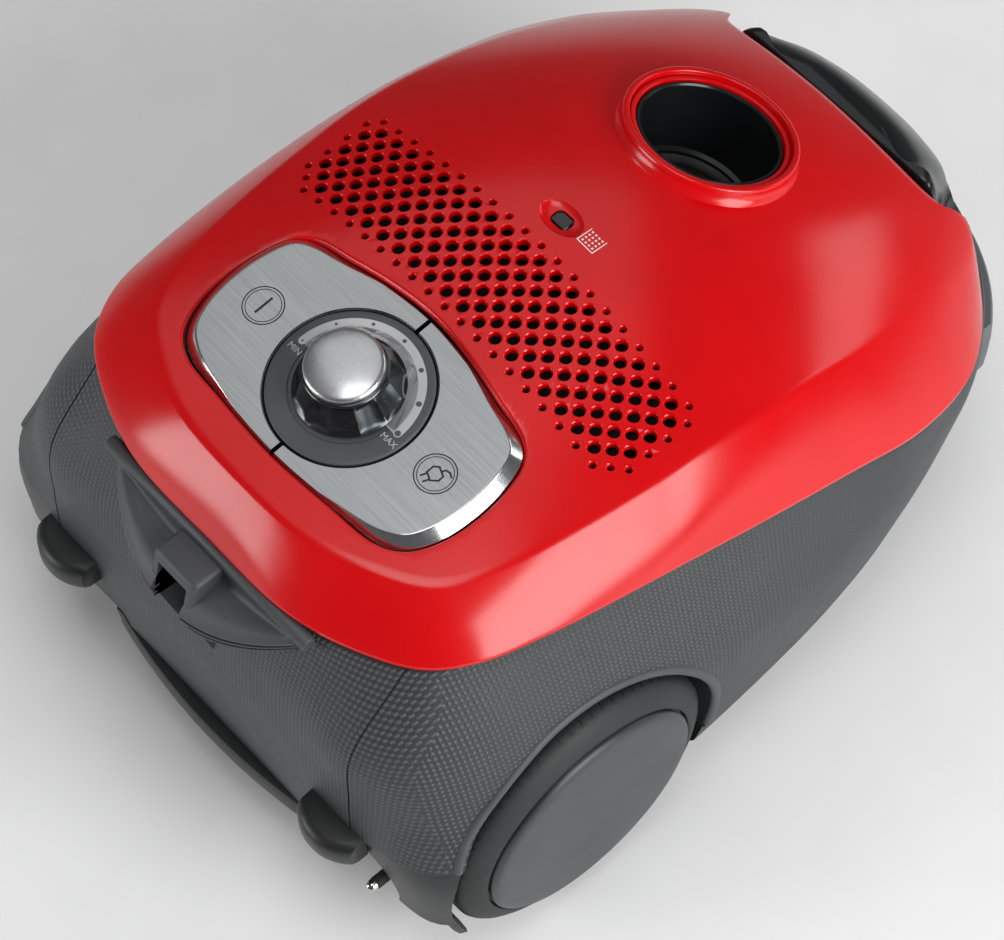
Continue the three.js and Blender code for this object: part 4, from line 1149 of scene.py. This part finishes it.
grip = finish_piece("grip_lip", wrap(grip_rows()), "base", smooth_grey_abs, "rear_grip", crisp=50)


hinge_cover = shift(spun([(0, -56), (2.6, -56), (3.1, -55.5), (3.1, 55.5), (2.6, 56), (0, 56)], 40, "X"), y=-162.6, z=168.9)
finish_piece("hinge_cover", hinge_cover, "base", smooth_grey_abs, crisp=45)


def slot_cut():
    return block(-7.8, 7.8, -200, -164.2, 110, 163.6, 0.6, 2)


carve(grip, cutter(slot_cut()), crisp=50)

# %% Hood and slot guide
def wedge(x0, x1, bottom, top, round_by):
    """A rounded block whose back leans; bottom and top are (y of its back, y of its front, z)."""
    bm = block(x0, x1, 0, 1, 0, 1)
    for v in bm.verts:
        back, front, z = top if v.co.z > 0.5 else bottom
        v.co.y, v.co.z = (front if v.co.y > 0.5 else back), z
    bmesh.ops.bevel(bm, geom=bm.edges, offset=round_by, offset_type="OFFSET", affect="EDGES", segments=5, profile=0.5,
                    material=-1)
    return bm


hood = finish_piece("slot_hood", wedge(-11.8, 11.8, (-184.2, -164, 143.5), (-178.5, -164, 168.2), 2.4), "base",
                    smooth_grey_abs, crisp=50)
carve(hood, cutter(slot_cut()), crisp=50)
guide = finish_piece("slot_guide", wedge(-10.2, 10.2, (-173.6, -168, 114), (-182.5, -168, 147), 0.8), "base",
                     smooth_grey_abs, crisp=50)
carve(guide, cutter(slot_cut()), crisp=50)

# %% [markdown]
# ## Front handle and nose
# A glossy black lever under the tip of the cover opens it and serves as the carrying handle.
# Its top flows in the same plan curve as the nose, in five outlines joined by smooth rows.

# %% Front handle
LEVER_HALF = 55


def lever_plan(front, back, half):
    return [(0, back), (half * 0.6, back), (half, back + 1), (half - 1.5, back + 4.5), (half * 0.74, front - 7),
            (half * 0.4, front - 1.5), (0, front)]


LEVER_LEVELS = [(117, 183, 164, 0), (121, 182, 154, 0), (131, 176, 152.2, 0), (141, 168, 151.8, 2), (146, 160, 152.5, 7)]


def lever_rows():
    knots = [[p for p in at_height(smooth_loop(lever_plan(front, back, LEVER_HALF - less), 120), z)]
             for z, front, back, less in LEVER_LEVELS]
    rows = [[Vector((p.x * 0.985, 171 + (p.y - 171) * 0.9, 117.0)) for p in knots[0]]]
    for i in range(len(knots) - 1):
        for t in (0.06, 0.25, 0.5, 0.75) if i == 0 else (0.0, 0.25, 0.5, 0.75):
            p0, p3 = knots[max(i - 1, 0)], knots[min(i + 2, len(knots) - 1)]
            row = []
            for a, b, c, d in zip(p0, knots[i], knots[i + 1], p3):
                row.append(0.5 * (2 * b + (c - a) * t + (2 * a - 5 * b + 4 * c - d) * t ** 2
                                  + (3 * b - a - 3 * c + d) * t ** 3))
            rows.append(row)
    last = knots[-1]
    rows.append([Vector((p.x, p.y, 145.4)) for p in last])
    rows.append([Vector((p.x * 0.97, 156 + (p.y - 156) * 0.8, 146.0)) for p in last])
    return rows


finish_piece("cover_lever", wrap(lever_rows()), "latch", gloss_black_abs, "latch_handle", crisp=45)

# %% Nose band
nose_rows = [at_height(inset(body_plan(share), -by), lambda x, y, z=z: z)
             for share, by, z in ((0.4, 4.3, 60.5), (0.44, 4.8, 61.5), (0.5, 4.7, 70), (0.6, 4.2, 82), (0.7, 3.4, 90.8), (0.72, 2.6, 92))]
nose = finish_piece("nose_band", wrap(nose_rows), "base", nose_grey_abs, "front_bumper", crisp=45)
carve(nose, cutter(block(-91, 91, 129, 185.9, 50, 100, 1.5, 3)), operation="INTERSECT", crisp=45)
carve(nose, body_solid(-0.1), crisp=45)

# %% [markdown]
# ## Plug, caster and what is inside
# The mains plug docks under the right rear corner with its two pins showing. The pins are turned with round tips.
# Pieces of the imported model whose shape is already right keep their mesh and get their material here.

# %% Plug and pins
PLUG_X, PLUG_Z = 87.5, 49
plug_profile = [(0, -157), (11.8, -157), (13.0, -156.4), (13.5, -155.2), (13.5, -145.5), (12.9, -143), (10, -135), (7, -128),
                (6, -126.2), (0, -126)]
plug = finish_piece("plug_moulding", shift(spun(plug_profile, 64, "Y"), x=PLUG_X, z=PLUG_Z), "base", soft_rubber, "plug_body")
pin_profile = [(0, -176), (0.9, -175.85), (1.7, -175.3), (2.2, -174.5), (2.4, -173.4), (2.4, -152), (0, -152)]
for x, label in ((78, "left"), (97, "right")):
    finish_piece(f"plug_prong_{label}", shift(spun(pin_profile, 32, "Y"), x=x, z=PLUG_Z), "base", nickel_plate,
                 f"plug_pin_{label}", crisp=60)
    sleeve = [(2.42, -172.2), (2.58, -171.9), (2.58, -157.2), (2.42, -157)]
    finish_piece(f"plug_sleeve_{label}", shift(spun(sleeve, 32, "Y"), x=x, z=PLUG_Z), "base", soft_rubber)

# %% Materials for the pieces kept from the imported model
KEPT = {
    "wheel_axle_right": bright_steel, "wheel_axle_left": bright_steel, "caster_fork": ribbed_black_abs,
    "caster_wheel": soft_rubber, "caster_axle": bright_steel, "caster_clip": zinc_steel,
    "chamber_divider": ribbed_black_abs, "motor_filter": white_fleece, "bag_collar": filter_card,
    "bag_holder": dark_grey_abs, "motor_housing": zinc_steel, "motor_stator": copper_wire,
    "motor_rotor": bright_steel, "fan_impeller": turned_aluminium, "motor_mount_front": soft_rubber,
    "motor_mount_rear": soft_rubber, "cord_reel": ribbed_black_abs, "cord_winding": soft_rubber,
    "reel_axle": bright_steel, "reel_spring_case": zinc_steel, "cord_outlet": ribbed_black_abs,
    "cord_lead": soft_rubber, "hinge_pin_right": dark_grey_abs, "hinge_pin_left": dark_grey_abs,
    "key_power_spring": bright_steel, "key_rewind_spring": bright_steel, "power_switch": ribbed_black_abs,
    # The exhaust filter gets the nearly black foam, painted shade seen through the vents.
    "control_board": board_laminate, "knob_shaft": bright_steel, "exhaust_filter": shade_black_foam,
    "latch_catch": ribbed_black_abs, "dust_bag": filter_paper,
}
for name, look in KEPT.items():
    nodes[name].data.materials.clear()
    nodes[name].data.materials.append(look)
print("kept pieces", len(KEPT))

# %% Finish
floor_mesh = bmesh.new()
bmesh.ops.create_grid(floor_mesh, x_segments=1, y_segments=1, size=6)
floor_data = bpy.data.meshes.new("floor")
floor_mesh.to_mesh(floor_data)
floor_mesh.free()
floor = bpy.data.objects.new("studio_floor", floor_data)
floor.data.materials.append(floor_paint)
bpy.context.scene.collection.objects.link(floor)
